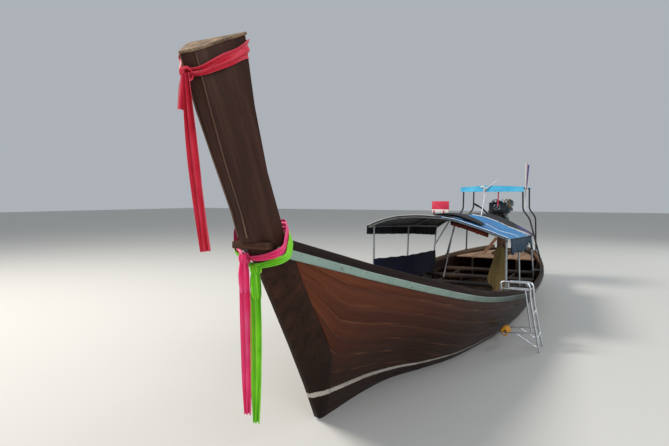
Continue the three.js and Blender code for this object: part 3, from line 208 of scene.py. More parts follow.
# %% [markdown]
# Oiled and painted timber. The grain is noise drawn out along the plank; a second, broader noise
# gives the water stains, and the wear shows the paler wood. On planks and rails the pattern reads
# a UV map in metres along and across the plank, and on plain boards it reads Object coordinates.

# %% Timber finishes
GRAIN_WIDTH, GRAIN_LENGTH = 0.006, 28  # the length is in widths
STREAK_SHARE = 0.22
STAIN_SIZE = 0.35


def timber(
    name, dark, light, worn, along="x", wear=0.35, rough=0.5, gloss=0.0, lean=0.0, uv=False,
    figure=0.55, stains=0.5,
):
    material, tree, shader = new_finish(name, coat_weight=gloss, coat_roughness=0.3, ior=1.25)
    place = coords(tree, "UV" if uv else "Object")
    if lean:
        place = add(tree, "Mapping", {"Vector": place, "Rotation": (0, lean, 0)}).outputs[0]
    fine, long = 1 / GRAIN_WIDTH, 1 / (GRAIN_WIDTH * GRAIN_LENGTH)
    scale = [long if axis == along else fine for axis in "xyz"]
    grain = noise(tree, stretched(tree, place, scale), 0.45, 6, 0.62, 0.15)
    streaky = stretched(tree, place, [s * STREAK_SHARE for s in scale])
    streak, stain = noise(tree, streaky, 0.5, 3), noise(tree, place, 1 / STAIN_SIZE, 5, 0.6)
    tone = blend_colours(tree, between(tree, streak, 0.3, 0.7), dark, light)
    tone = blend_colours(tree, between(tree, grain, 0.35, 0.7, 0.0, figure), tone, dark, "MULTIPLY")
    tone = blend_colours(tree, between(tree, stain, 0.45, 0.8, 0.0, stains), tone, dark)
    if uv:
        plank = add(tree, "Attribute", attribute_name="plank_tone").outputs["Fac"]
        tone = blend_colours(tree, between(tree, plank, 0.0, 1.0, 0.0, 0.42), tone, dark)
    rub = noise(tree, streaky, 0.9, 8, 0.75)
    worn_share = between(tree, rub, 0.74 - 0.25 * wear, 0.82 - 0.15 * wear, 0.0, 0.75)
    tone = blend_colours(tree, worn_share, tone, worn)
    dull = between(tree, grain, 0.3, 0.7, rough - 0.1, rough + 0.14)
    link_finish(tree, shader, tone, dull, grain, 0.35, 0.0015)
    return material



varnished_hull = timber(
    "varnished_mahogany_planking", "#572814", "#7c3f22", "#a4714c", uv=True, wear=0.14, rough=0.46,
    gloss=0.06, figure=0.35, stains=0.45,
)
dark_rail = timber("dark_oiled_rail", "#170d09", "#341e14", "#a08468", uv=True, wear=0.5, rough=0.6)
stem_wood = timber(
    "dark_stem_timber", "#26150e", "#4a2a1b", "#7a5a42", along="z", lean=0.42, wear=0.3, rough=0.5
)
prow_wood = timber(
    "dark_prow_boards", "#33201a", "#4a2f26", "#77584a", along="z", lean=-0.43, wear=0.12, rough=0.55,
    figure=0.3,
)
cap_wood = timber("weathered_cap_timber", "#5c4a3c", "#b09478", "#e8d2b2", along="x", wear=0.65, rough=0.8)
beam_wood = timber("weathered_crossbeam", "#2c1c15", "#5f4233", "#9a8468", along="y", wear=0.4, rough=0.8)
bare_deck = timber("bare_reddish_deck", "#84664f", "#b5967b", "#d6bb9f", along="x", wear=0.5, rough=0.75)
# Painted shade: the inner boards and the seats get darker colours than their wood has, for the deep shade
# inside the boat.
inner_wood_shaded = timber("oiled_inner_boards_painted_shade", "#221812", "#4a382b", "#8a755c", along="x", wear=0.35, rough=0.7)
seat_wood_shaded = timber("oiled_seat_boards_painted_shade", "#251913", "#513d2e", "#94795c", along="y", wear=0.4, rough=0.65)
post_wood = timber("rough_hardwood_post", "#2c1c13", "#5d4230", "#8f7355", along="z", wear=0.45, rough=0.75)


def shade_towards(material, axis, start, end, share, colour, kind="Object"):
    """Blend a finish towards a colour along an axis, between two places."""
    tree, base, plain = current_colour(material)
    place = axes_of(tree, coords(tree, kind))[axis]
    tree.links.new(blend_colours(tree, between(tree, place, start, end, 0.0, share), plain, colour), base)


# Painted shade: below its top the stern deck and its posts go almost black.
shade_towards(bare_deck, "Z", 0.53, 0.51, 0.93, "#120c09")
shade_towards(dark_rail, "Y", 0.080, 0.093, 0.55, "#94775c", "UV")
print("timbers", [m.name for m in bpy.data.materials if m.name != "Dots Stroke"][-10:])

# %% [markdown]
# Painted shade darkens the planks towards the water and greys them towards the stern. The narrow
# waterline stripe is brushed on the planking and the stem alike. It falls towards the stern and thins
# as it goes, so a colour ramp along X holds its top edge and its width.

# %% Planking in shade and scuffs
PLANK_WIDTH, PLANK_PITCH = 0.15, 3.25  # UV across one plank, and from one plank's UV strip to the next


def shade_and_scuff_planking(material, low_shade, aft_shade, scuff):
    """Painted shade, darker towards the water and greyer towards the stern, and scuffed pale along the plank
    edges.
    """
    tree, base, tone = current_colour(material)
    axes = axes_of(tree, coords(tree))
    # Painted shade: darker and greyer towards the stern, and darker towards the water.
    tone = blend_colours(tree, between(tree, axes["X"], 2.8, 0.6, 0.0, 0.6), tone, aft_shade)
    tone = blend_colours(tree, between(tree, axes["Z"], 1.15, 0.35, 0.0, 0.8), tone, low_shade)
    if scuff:
        strip = coords(tree, "UV")
        inside = work_out(tree, "MODULO", axes_of(tree, strip)["Y"], PLANK_PITCH)
        near = between(tree, work_out(tree, "PINGPONG", inside, PLANK_WIDTH / 2), 0.016, 0.001)
        patch = noise(tree, stretched(tree, strip, (3.0, 40.0, 1.0)), 1.0, 7, 0.7)
        share = work_out(tree, "MULTIPLY", near, between(tree, patch, 0.5, 0.62, 0.0, 0.55))
        tone = blend_colours(tree, share, tone, scuff)
    tree.links.new(tone, base)


# The colours of the painted shade low down and aft, then the pale colour of the scuffs.
shade_and_scuff_planking(varnished_hull, "#150b06", "#231a12", "#8e6040")
shade_and_scuff_planking(stem_wood, "#1c120d", "#2a1c14", None)

# %% Waterline stripe
STRIPE_FROM, STRIPE_TO = -4.7, 3.7
STRIPE_TOP_UNIT, STRIPE_WIDTH_UNIT = 0.3, 0.05
STRIPE = [  # x, height of the top edge, width
    (-4.6, 0.060, 0.012), (1.0, 0.062, 0.012), (1.7, 0.085, 0.016), (2.2, 0.115, 0.026),
    (2.6, 0.160, 0.033), (2.9, 0.190, 0.037), (3.37, 0.225, 0.040), (3.66, 0.247, 0.041),
]


def brush_waterline(material, paint, below):
    tree, base, plain = current_colour(material)
    place = coords(tree)
    axes = axes_of(tree, place)
    ramp = add(tree, "ValToRGB", {"Fac": between(tree, axes["X"], STRIPE_FROM, STRIPE_TO)})
    stops = ramp.color_ramp.elements
    while len(stops) < len(STRIPE):
        stops.new(0.5)
    for stop, (x, top, width) in zip(stops, STRIPE):
        stop.position = (x - STRIPE_FROM) / (STRIPE_TO - STRIPE_FROM)
        stop.color = (top / STRIPE_TOP_UNIT, width / STRIPE_WIDTH_UNIT, 0, 1)
    split = add(tree, "SeparateColor", {"Color": ramp.outputs["Color"]}).outputs
    top = work_out(tree, "MULTIPLY", split[0], STRIPE_TOP_UNIT)
    width = work_out(tree, "MULTIPLY", split[1], STRIPE_WIDTH_UNIT)
    ragged = between(tree, noise(tree, place, 55.0, 4), 0.3, 0.7, -0.0025, 0.0025)
    under_top = work_out(tree, "SUBTRACT", top, work_out(tree, "ADD", axes["Z"], ragged))
    over_foot = work_out(tree, "SUBTRACT", width, under_top)
    edges = [between(tree, distance, 0, 0.002) for distance in (under_top, over_foot)]
    patchy = between(tree, noise(tree, place, 18.0, 6, 0.7), 0.3, 0.45, 0.55, 1.0)
    cover = work_out(tree, "MULTIPLY", work_out(tree, "MULTIPLY", *edges), patchy)
    wet = blend_colours(tree, between(tree, over_foot, 0.01, -0.03, 0.0, 0.62), plain, below)
    tree.links.new(blend_colours(tree, cover, wet, paint), base)


for wood in (varnished_hull, stem_wood):
    brush_waterline(wood, "#b3aaa0", "#1a100b")

# %% [markdown]
# The hull is planked carvel fashion, edge to edge. Its lines are a table of stations, and a
# smooth curve through them gives the section at any place, so each plank can be laid as one long
# closed strip with a rounded outer edge and a dark line of caulking between it and the next.
# Operators can't follow lines like these, so the strips are written out as rings of points.

# %% Hull lines
HULL = np.array([  # x, keel, half breadth, sheer (mm), fullness out and up, foot (mm)
    (4290, 1350, 134, 1449, 0.50, 0.50, 14), (4200, 1230, 150, 1425, 0.50, 0.50, 14),
    (4050, 980, 180, 1383, 0.50, 0.48, 14), (3850, 655, 222, 1327, 0.50, 0.46, 14),
    (3650, 315, 268, 1270, 0.50, 0.45, 15), (3540, 110, 294, 1239, 0.49, 0.45, 16),
    (3495, 25, 304, 1228, 0.48, 0.45, 17), (3420, -25, 326, 1204, 0.46, 0.45, 18),
    (3000, -75, 450, 1087, 0.46, 0.44, 20), (2500, -120, 600, 952, 0.54, 0.36, 22),
    (2000, -165, 726, 828, 0.70, 0.15, 26), (1500, -200, 829, 723, 0.77, 0.03, 28),
    (1000, -228, 902, 648, 0.79, 0.01, 30), (500, -250, 957, 588, 0.81, 0.00, 30),
    (-100, -270, 1012, 528, 0.79, 0.00, 30), (-700, -280, 1036, 498, 0.78, 0.00, 30),
    (-1400, -282, 1020, 512, 0.81, 0.00, 30), (-2000, -272, 976, 545, 0.86, 0.00, 30),
    (-2700, -240, 874, 584, 0.89, 0.00, 30), (-3500, -180, 716, 617, 0.87, 0.02, 30),
    (-4150, -118, 548, 634, 0.78, 0.05, 30), (-4700, -50, 345, 651, 0.62, 0.10, 28),
])[::-1] * np.array([0.001, 0.001, 0.001, 0.001, 1, 1, 0.001])
WALL, RAIL_DEPTH, RAIL_WIDTH, RAIL_INSET = 0.026, 0.062, 0.048, 0.020
STERN_X = -4.7


def smooth_through(xs, ys, at):
    """A curve through the points that never swings past them (a monotone cubic)."""
    step = np.diff(xs)
    rise = np.diff(ys) / step
    slope = np.concatenate([rise[:1], np.zeros(len(xs) - 2), rise[-1:]])
    same = rise[1:] * rise[:-1] > 0
    first, second = 2 * step[1:] + step[:-1], step[1:] + 2 * step[:-1]
    safe = np.where(same, rise[:-1], 1), np.where(same, rise[1:], 1)
    slope[1:-1] = np.where(same, (first + second) / (first / safe[0] + second / safe[1]), 0)
    k = np.clip(np.searchsorted(xs, at) - 1, 0, len(xs) - 2)
    t = (at - xs[k]) / step[k]
    return (
        (1 + 2 * t) * (1 - t) ** 2 * ys[k] + t * (1 - t) ** 2 * step[k] * slope[k]
        + t * t * (3 - 2 * t) * ys[k + 1] + t * t * (t - 1) * step[k] * slope[k + 1]
    )


def station(x):
    return [smooth_through(HULL[:, 0], HULL[:, column], x) for column in range(1, 7)]


def half_at(x):
    return float(station(x)[1])


def sheer_at(x):
    return float(station(x)[2])


def skin(x, shares, inset=0.0):
    """Points (y, z) of the port planking at x, at shares of the girth from keel to rail."""
    keel, half, sheer, full_out, full_up, foot = station(x)
    wide, top = half - RAIL_INSET, sheer - RAIL_DEPTH
    corner = np.array([foot + (wide - foot) * full_out, keel + (top - keel) * full_up])
    low, high = np.array([foot, keel]), np.array([wide, top])
    t = np.linspace(0, 1, 49)[:, None]
    line = (1 - t) ** 2 * low + 2 * t * (1 - t) * corner + t * t * high
    run = np.concatenate([[0], np.cumsum(np.linalg.norm(np.diff(line, axis=0), axis=1))])
    t = np.interp(np.asarray(shares) * run[-1], run, t[:, 0])[:, None]
    point = (1 - t) ** 2 * low + 2 * t * (1 - t) * corner + t * t * high
    way = 2 * (1 - t) * (corner - low) + 2 * t * (high - corner)
    way /= np.linalg.norm(way, axis=1)[:, None]
    inset = np.broadcast_to(np.asarray(inset, float), (len(point),))[:, None]
    return point + inset * np.stack([-way[:, 1], way[:, 0]], axis=1)


def breadth_at(x, z, inset=0.0):
    """Half breadth of the planking at height z."""
    line = skin(x, np.linspace(0, 1, 80), inset)
    return float(np.interp(z, line[:, 1], line[:, 0]))


print("beam", round(2 * half_at(-0.7), 3), "sheer at the bow", round(sheer_at(4.2), 3))

# %% [markdown]
# One function makes every lofted piece: it takes solids as rows of rings, closes their ends,
# turns all faces outwards, and keeps the UV map in metres and the tone of each plank.

# %% Lofted pieces


def put_in_scene(name, data):
    piece = bpy.data.objects.new(name, data)
    bpy.context.scene.collection.objects.link(piece)
    return piece


def mesh_from(name, points, faces, uvs=None):
    mesh = bpy.data.meshes.new(name)
    mesh.from_pydata(points, [], faces)
    if uvs is not None:
        layer = mesh.uv_layers.new(name="metres")
        corners = np.array([loop.vertex_index for loop in mesh.loops])
        layer.data.foreach_set("uv", np.array(uvs)[corners].ravel())
    return mesh


def make_active(piece):
    bpy.ops.object.select_all(action="DESELECT")
    piece.select_set(True)
    bpy.context.view_layer.objects.active = piece


def edit_all(piece, *steps):
    """Run the steps one after another on all of a piece's mesh."""
    make_active(piece)
    bpy.ops.object.mode_set(mode="EDIT")
    bpy.ops.mesh.select_all(action="SELECT")
    for step in steps:
        step()
    bpy.ops.object.mode_set(mode="OBJECT")


def face_outwards():
    bpy.ops.mesh.normals_make_consistent(inside=False)


def finish_piece(piece, body, finish, nodes=(), smooth=35):
    piece.data.materials.clear()
    piece.data.materials.append(finish)
    make_active(piece)
    if smooth:
        bpy.ops.object.shade_smooth_by_angle(angle=math.radians(smooth))
    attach(piece, body)
    if nodes:
        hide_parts(*nodes)
    return piece


def lofted(name, solids, body, finish, nodes=(), smooth=35):
    points, faces, uvs, tones = [], [], [], []
    for solid in solids:
        rings = np.asarray(solid["rings"], float)
        rows, count = rings.shape[:2]
        start = len(points)
        last = start + (rows - 1) * count
        points.extend(map(tuple, rings.reshape(-1, 3)))
        uvs.extend(map(tuple, np.asarray(solid.get("uv", rings[:, :, :2])).reshape(-1, 2)))
        tones.extend([solid.get("tone", 0.0)] * rows * count)
        for a in range(start, last, count):
            b = a + count
            for i in range(count):
                j = (i + 1) % count
                faces.append((a + i, a + j, b + j, b + i))
        faces.append(tuple(range(start, start + count))[::-1])
        faces.append(tuple(range(last, last + count)))
    mesh = mesh_from(name, points, faces, uvs)
    mesh.attributes.new("plank_tone", "FLOAT", "POINT").data.foreach_set("value", np.array(tones))
    piece = put_in_scene(name, mesh)
    edit_all(piece, face_outwards)
    return finish_piece(piece, body, finish, nodes, smooth)


def both_sides(solids):
    mirrored = []
    for solid in solids:
        other = dict(solid)
        other["rings"] = np.asarray(solid["rings"]) * np.array([1, -1, 1])
        other["tone"] = (solid.get("tone", 0.0) * 1.7 + 0.31) % 1.0
        mirrored.append(other)
    return list(solids) + mirrored


# %% Planking
PLANKS = 9
PLANK_ROWS = 66
GIRTH = 1.35
SEAM = 0.0016
EDGE_ROUND = 0.004
STEM_SEAM = np.array([  # x, z of the seam between stem and planking, keel to head
    (3.380, -0.060), (3.435, 0.298), (3.483, 0.502), (3.676, 0.783),
    (3.799, 0.961), (4.013, 1.265), (4.052, 1.400),
])


def plank_front(share):
    low, high = 3.3, 4.08
    for _ in range(30):
        x = (low + high) / 2
        if x < np.interp(skin(x, [share])[0, 1], STEM_SEAM[:, 1], STEM_SEAM[:, 0]):
            low = x
        else:
            high = x
    return x - 0.001


def plank_rings(shares, insets, fronts):
    rings = []
    for u in np.linspace(0, 1, PLANK_ROWS):
        xs = [front + (STERN_X - front) * u for front in fronts]
        rings.append([(x, *skin(x, [share], inset)[0]) for x, share, inset in zip(xs, shares, insets)])
    uvs = [[(p[0], share * GIRTH) for p, share in zip(ring, shares)] for ring in rings]
    return np.array(rings), np.array(uvs)


edge_shares = np.linspace(0, 1, PLANKS + 1)
fronts = [plank_front(share) for share in edge_shares]
gap, turn = SEAM / GIRTH / 2, EDGE_ROUND / GIRTH
planks, caulking = [], []
for k in range(PLANKS):
    low, high = edge_shares[k] + gap, edge_shares[k + 1] - gap
    third = (high - low) / 3
    shares = [low, low + turn, low + third, high - third, high - turn, high, high, low]
    insets = [0.0022, 0, 0, 0, 0, 0.0022, WALL, WALL]
    rings, uvs = plank_rings(shares, insets, np.interp(shares, edge_shares, fronts))
    planks.append({"rings": rings, "uv": uvs + (k * 0.37, k * 3.1), "tone": (k * 0.618 + 0.15) % 1.0})
    if k:
        shares = np.array([-1, 1, 1, -1]) * (gap + 0.0012) + edge_shares[k]
        rings, uvs = plank_rings(shares, [0.0045, 0.0045, 0.02, 0.02], np.interp(shares, edge_shares, fronts))
        caulking.append({"rings": rings, "uv": uvs})
hull_planking = lofted("hull_planking", both_sides(planks), "boat", varnished_hull, ["hull_shell"])
caulk_finish = speckled("dried_seam_putty", "#120c09", "#3d2a20", 60.0, 0.35, 0.65, 5, roughness=0.9)
lofted("hull_caulking", both_sides(caulking), "boat", caulk_finish)
print("planks", len(planks) * 2, "triangles about", len(hull_planking.data.polygons) * 2)

# %% [markdown]
# The studio floor lies at the water's level. It is cut out along the waterline, so that it never
# shows inside the open boat, and the underwater hull hangs through it as it does afloat.

# %% Floor at the waterline
FLOOR_REACH = 60.0
CUT_FRONT, CUT_AFT = 3.49, STERN_X - 0.03
edge = [(x, breadth_at(x, 0.0, 0.004)) for x in np.linspace(3.47, STERN_X + 0.001, 60)]
edge = [(FLOOR_REACH, 0.0), (CUT_FRONT, 0.0)] + edge + [(CUT_AFT, edge[-1][1]), (CUT_AFT, 0.0)]
edge.append((-FLOOR_REACH, 0.0))
points, faces = [], []
for side in (1, -1):
    start = len(points)
    for x, y in edge:
        points += [(x, side * y, 0.0), (x, side * FLOOR_REACH, 0.0)]
    for a in range(start, start + 2 * len(edge) - 2, 2):
        face = (a, a + 2, a + 3, a + 1)
        faces.append(face[::-1] if side > 0 else face)
floor = put_in_scene("studio_floor", mesh_from("studio_floor", points, faces))
floor_finish, tree, shader = new_finish("pale_studio_floor", roughness=0.75)
shader.inputs["Base Color"].default_value = linear("#c6c4bf")
floor.data.materials.append(floor_finish)

# %% [markdown]
# The sheer rail caps the planking from the bow to the stern. Its top edge is worn pale by ropes
# and feet, so the wear is stronger in its finish than on the planks. The rub strake under it is
# painted a chalky grey-green, chipped along its edges, and fastened with two rows of nails.


# %% Painted finishes
def painted(name, colour, under, dirt, chips=0.4, rough=0.55, speck=0.012):
    material, tree, shader = new_finish(name, roughness=rough)
    place = coords(tree)
    flake, grime = noise(tree, place, 0.25 / speck, 9, 0.72), noise(tree, place, 3.5, 6, 0.65)
    tone = blend_colours(tree, between(tree, grime, 0.4, 0.75, 0.0, 0.6), colour, dirt)
    bare = between(tree, flake, 0.72 - 0.2 * chips, 0.74 - 0.18 * chips)
    tone = blend_colours(tree, bare, tone, under)
    dull = between(tree, grime, 0.3, 0.8, rough - 0.08, rough + 0.2)
    link_finish(tree, shader, tone, dull, bare, 0.3, 0.0008, invert=True)
    return material


strake_paint = painted("chalky_grey_green_paint", "#8fa69b", "#4d4a3f", "#6f837a", chips=0.42, speck=0.016)
# Painted shade: the strake darkens aft, from x 2.6 to x 0.4.
shade_towards(strake_paint, "X", 2.6, 0.4, 0.9, "#2a3230")
print("strake paint", strake_paint.name)

# %% Rails and strakes
RAIL_FRONT, STRAKE_FRONT = 4.095, 4.176
STRAKE_DEPTH, STRAKE_PROUD, STRAKE_SEAT = 0.055, 0.026, 0.006
RAIL_SEAT = 0.0004
RAIL_ROUND = 0.009
SIDE_ROWS = 80


def rail_ring(x):
    half, sheer, turn = half_at(x), sheer_at(x), RAIL_ROUND
    low, inner = sheer - RAIL_DEPTH + RAIL_SEAT, half - RAIL_WIDTH
    ring = [
        (half, low), (half, sheer - turn), (half - 0.3 * turn, sheer - 0.3 * turn), (half - turn, sheer),
        (inner + turn, sheer), (inner + 0.3 * turn, sheer - 0.3 * turn), (inner, sheer - turn), (inner, low),
    ]
    across = [0, 0.05, 0.055, 0.06, 0.09, 0.095, 0.1, 0.15]
    return [(x, y, z) for y, z in ring], [(x, v) for v in across]


def strake_ring(x):
    top = sheer_at(x) - RAIL_DEPTH - RAIL_SEAT
    high, low = breadth_at(x, top), breadth_at(x, top - STRAKE_DEPTH)
    turn, foot = 0.006, top - STRAKE_DEPTH
    ring = [
        (high - STRAKE_SEAT, top), (high + STRAKE_PROUD - turn, top), (high + STRAKE_PROUD, top - turn),
        (low + STRAKE_PROUD, foot + turn), (low + STRAKE_PROUD - turn, foot), (low - STRAKE_SEAT, foot),
    ]
    return [(x, y, z) for y, z in ring], [(x, 0.03 * i) for i in range(6)]


for side, label in ((1, "port"), (-1, "starboard")):
    for ring_at, front, piece, finish in (
        (rail_ring, RAIL_FRONT, "sheer_rail", dark_rail),
        (strake_ring, STRAKE_FRONT, "rub_strake", strake_paint),
    ):
        made = [ring_at(x) for x in np.linspace(front, STERN_X, SIDE_ROWS)]
        rings = np.array([m[0] for m in made]) * (1, side, 1)
        solid = {"rings": rings, "uv": [m[1] for m in made], "tone": 0.2}
        lofted(f"{piece}_{label}_shaped", [solid], "boat", finish, [f"{piece}_{label}"])

# %% [markdown]
# Fastenings come as one mesh of many small domed heads: one head is made with operators, and its
# copies are set out by place and normal.

# %% Nail and bolt heads
bpy.ops.object.select_all(action="DESELECT")
bpy.ops.mesh.primitive_uv_sphere_add(segments=8, ring_count=6, radius=1.0)
dome = bpy.context.active_object
edit_all(dome, lambda: bpy.ops.transform.resize(value=(1, 1, 0.45)))
DOME_POINTS = np.array([v.co for v in dome.data.vertices])
DOME_FACES = [tuple(p.vertices) for p in dome.data.polygons]
bpy.data.objects.remove(dome)


def heads(name, places, radius, body, finish):
    """Domed heads: places holds (point, direction that the head faces)."""
    points, faces = [], []
    for place, facing in places:
        turn = np.array(Vector(facing).to_track_quat("Z", "Y").to_matrix())
        start = len(points)
        points.extend(map(tuple, (DOME_POINTS * radius) @ turn.T + np.array(place)))
        faces.extend(tuple(start + i for i in face) for face in DOME_FACES)
    finish_piece(put_in_scene(name, mesh_from(name, points, faces)), body, finish)


NAIL_STEP = 0.16
nail_finish = speckled(
    "rusted_iron_nails", "#2b2622", "#6a4430", 90.0, 0.35, 0.65, metallic=0.6, roughness=0.7
)
nails = []
for x in np.arange(4.0, STERN_X + 0.1, -NAIL_STEP):
    top = sheer_at(x) - RAIL_DEPTH
    for drop, shift in ((0.016, 0.0), (0.04, NAIL_STEP / 2)):
        y = breadth_at(x + shift, top - drop) + STRAKE_PROUD
        for side in (1, -1):
            nails.append(((x + shift, side * y, sheer_at(x + shift) - RAIL_DEPTH - drop), (0.1, side, 0)))
heads("strake_nails", nails, 0.0042, "boat", nail_finish)
print("nails", len(nails))

# %% [markdown]
# Boards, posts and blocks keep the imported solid's own form: a copy is merged into one clean mesh,
# its flat faces are dissolved together, and its edges are eased with a small bevel, as a plane or
# a casting would leave them.


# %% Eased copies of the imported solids
def eased(node, finish, width, angle=30):
    solid = frame["nodes"][node]
    piece = solid.copy()
    piece.data = solid.data.copy()
    piece.name = node + "_eased"
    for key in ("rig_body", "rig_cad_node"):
        if key in piece:
            del piece[key]
    piece.parent = None
    bpy.context.scene.collection.objects.link(piece)
    edit_all(
        piece, lambda: bpy.ops.mesh.remove_doubles(threshold=0.00002),
        lambda: bpy.ops.mesh.dissolve_limited(angle_limit=math.radians(1.0)),
    )
    bevel = piece.modifiers.new("eased_edges", "BEVEL")
    bevel.width, bevel.segments, bevel.limit_method = width, 2, "ANGLE"
    bevel.angle_limit = math.radians(angle)
    bpy.ops.object.modifier_apply(modifier=bevel.name)
    body = next(b for b, ns in frame["record"]["behaviour"]["bodies"].items() if node in ns)
    finish_piece(piece, body, finish, [node])


for node, finish, width in (
    ("stem_timber", stem_wood, 0.004), ("keel_timber", stem_wood, 0.004), ("transom", dark_rail, 0.004),
    ("bow_crossbeam", beam_wood, 0.006), ("rib_frames", inner_wood_shaded, 0.002), ("thwarts", seat_wood_shaded, 0.003),
    ("foredeck", inner_wood_shaded, 0.003), ("stern_deck", bare_deck, 0.003), ("floor_boards", inner_wood_shaded, 0.002),
    ("prow_post", prow_wood, 0.004), ("prow_cap", cap_wood, 0.005),
    ("engine_stand", post_wood, 0.005),
):
    eased(node, finish, width)

# %% [markdown]
# Steel pipe, painted pipe and cast iron. The base colour and roughness vary with a broad noise, and
# rust or scuffs come through at a finer one. Metals keep the default index of refraction.


# %% Metal finishes
def metal(name, colour, stain, rough=0.35, metallic=1.0, stain_share=0.4):
    material, tree, shader = new_finish(name, metallic=metallic)
    place = coords(tree)
    fine = noise(tree, place, 40.0, 7, 0.7)
    both = work_out(tree, "MULTIPLY", noise(tree, place, 5.0, 6, 0.7), fine)
    tone = blend_colours(tree, between(tree, both, 0.34 - 0.14 * stain_share, 0.42, 0.0, 0.9), colour, stain)
    link_finish(tree, shader, tone, between(tree, both, 0.15, 0.4, rough, rough + 0.25), fine, 0.12, 0.0006)
    return material


galvanised = metal("galvanised_canopy_pipe", "#a3a6a8", "#6b5b4c", rough=0.42, stain_share=0.3)
stainless = metal("brushed_stainless_tube", "#c9ccd0", "#8f9092", rough=0.24, stain_share=0.2)
black_pipe = metal("black_painted_pipe", "#1d1e20", "#5a4638", rough=0.45, metallic=0.1, stain_share=0.35)
engine_blue = metal("worn_blue_enamel", "#3d5560", "#32302c", rough=0.42, metallic=0.1, stain_share=0.6)
cast_alloy = metal("dull_cast_alloy", "#8d8f90", "#4e4a44", rough=0.45, stain_share=0.4)
rusty_steel = metal("rusted_exhaust_steel", "#5b4a40", "#7c4526", rough=0.7, metallic=0.5, stain_share=0.7)
bronze = metal("polished_bronze", "#b08347", "#5e5236", rough=0.3, stain_share=0.3)
flag_pipe = metal("white_painted_pipe", "#cfcfca", "#7b6f60", rough=0.5, metallic=0.0, stain_share=0.35)

# %% [markdown]
# Every bent pipe is drawn as a line whose corners are turned into short arcs, then given its
# thickness as a curve's bevel and converted to one closed mesh.


# %% Pipes
def rounded(points, bend, steps=5):
    points = [Vector(p) for p in points]
    path = [points[0]]
    for before, corner, after in zip(points, points[1:], points[2:]):
        back, ahead = before - corner, after - corner
        reach = min(bend, back.length * 0.45, ahead.length * 0.45)
        start, end = corner + back.normalized() * reach, corner + ahead.normalized() * reach
        for i in range(steps + 1):
            t = i / steps
            path.append(start * (1 - t) ** 2 + corner * 2 * t * (1 - t) + end * t * t)
    return path + [points[-1]]


def piped(name, runs, body, finish, nodes=(), sides=12, bend=0.06):
    """runs: (points, radius), or (points, radius, bend) for a bend of its own."""
    curve = bpy.data.curves.new(name, "CURVE")
    curve.dimensions, curve.bevel_depth, curve.use_fill_caps = "3D", 1.0, True
    curve.bevel_resolution = sides // 4
    for points, radius, *own_bend in runs:
        path = rounded(points, *(own_bend or [bend]))
        spline = curve.splines.new("POLY")
        spline.points.add(len(path) - 1)
        for point, place in zip(spline.points, path):
            point.co, point.radius = (*place, 1), radius
    make_active(put_in_scene(name, curve))
    bpy.ops.object.convert(target="MESH")
    return finish_piece(bpy.context.active_object, body, finish, nodes, smooth=50)


# %% [markdown]
# The main canopy stands on bent pipe bows. Fore-and-aft pipes tie the bows together, and posts
# come up from inside the rails. Rope lashings at the crossings hide how the pipes are joined.

# %% Canopy frame
FRONT_BOW, MIDDLE_BOW, AFT_BOW, AFT_POST = 0.650, -0.950, -2.100, -1.980
# each bow's place, how far its crown and its eaves drop, and its breadth
BOWS = [(FRONT_BOW, 0.0, 0.0, 1.0), (MIDDLE_BOW, 0.020, 0.048, 0.96), (AFT_BOW, 0.038, 0.095, 0.92)]
BOW_PROFILE = np.array([
    (-0.856, 1.279), (-0.720, 1.337), (-0.560, 1.384), (-0.400, 1.408), (-0.200, 1.418), (0.0, 1.411),
    (0.200, 1.393), (0.400, 1.339), (0.620, 1.267), (0.856, 1.183),
])
EAVE_SLOPES = (0.43, -0.36)
POSTS = [(0.560, -1), (-0.680, -1), (AFT_POST, -1), (0.480, 1), (-0.560, 1), (AFT_POST, 1)]  # x, side
PIPE_R, POST_Y, THWART_Z = 0.016, 0.830, 0.400
EAVE_PIPE = 0.842
LONG_PIPES = (-EAVE_PIPE, -0.400, 0.0, 0.400, EAVE_PIPE)
bow_xs, bow_drops, eave_drops, bow_breadths = np.array(BOWS[::-1]).T


def wide_at(x):
    return float(np.interp(x, bow_xs, bow_breadths))


def bow_height(x, y):
    v = y / wide_at(x)
    inside = np.clip(v, BOW_PROFILE[0, 0], BOW_PROFILE[-1, 0])
    crown = smooth_through(BOW_PROFILE[:, 0], BOW_PROFILE[:, 1], inside)
    crown = crown + np.where(v < 0, EAVE_SLOPES[0], EAVE_SLOPES[1]) * (v - inside)
    crown = crown - np.interp(x, bow_xs, bow_drops)
    return float(crown - np.interp(x, bow_xs, eave_drops) * (v / 0.860) ** 2)


def bow_run(x):
    return [(x, v * wide_at(x), bow_height(x, v * wide_at(x))) for v in np.linspace(-0.856, 0.856, 25)]


def along_run(v):
    return [(x, v * wide, bow_height(x, v * wide)) for x, *_, wide in BOWS]


def post_breadth(x, z):
    """The posts lean in towards the narrower aft bows."""
    foot, head = sheer_at(x) - 0.150, bow_height(x, -POST_Y * wide_at(x))
    return POST_Y * (1 + (wide_at(x) - 1) * (z - foot) / (head - foot))


runs = [(bow_run(x), PIPE_R, 0.01) for x, *_ in BOWS]
runs += [(along_run(v), PIPE_R - 0.002) for v in LONG_PIPES]
clamps = []
for x, side in POSTS:
    y, sheer = side * POST_Y, sheer_at(x)
    inner = side * (half_at(x) - RAIL_WIDTH - 0.0032)
    head = bow_height(x, y * wide_at(x))
    foot_y, head_y = side * post_breadth(x, sheer), side * post_breadth(x, head - 0.035)
    runs.append(([(x, y, sheer - 0.150), (x, y * wide_at(x), head)], PIPE_R - 0.003))
    clamps += [
        ([(x, foot_y, sheer - 0.036), (x, inner, sheer - 0.036)], 0.011),
        ([(x, foot_y, sheer - 0.056), (x, foot_y, sheer - 0.016)], PIPE_R + 0.004),
        ([(x, head_y, head - 0.05), (x, head_y, head - 0.02)], PIPE_R + 0.003),
    ]
STRUT_Z = 0.840
strut_foot = (AFT_POST, -post_breadth(AFT_POST, STRUT_Z), STRUT_Z)
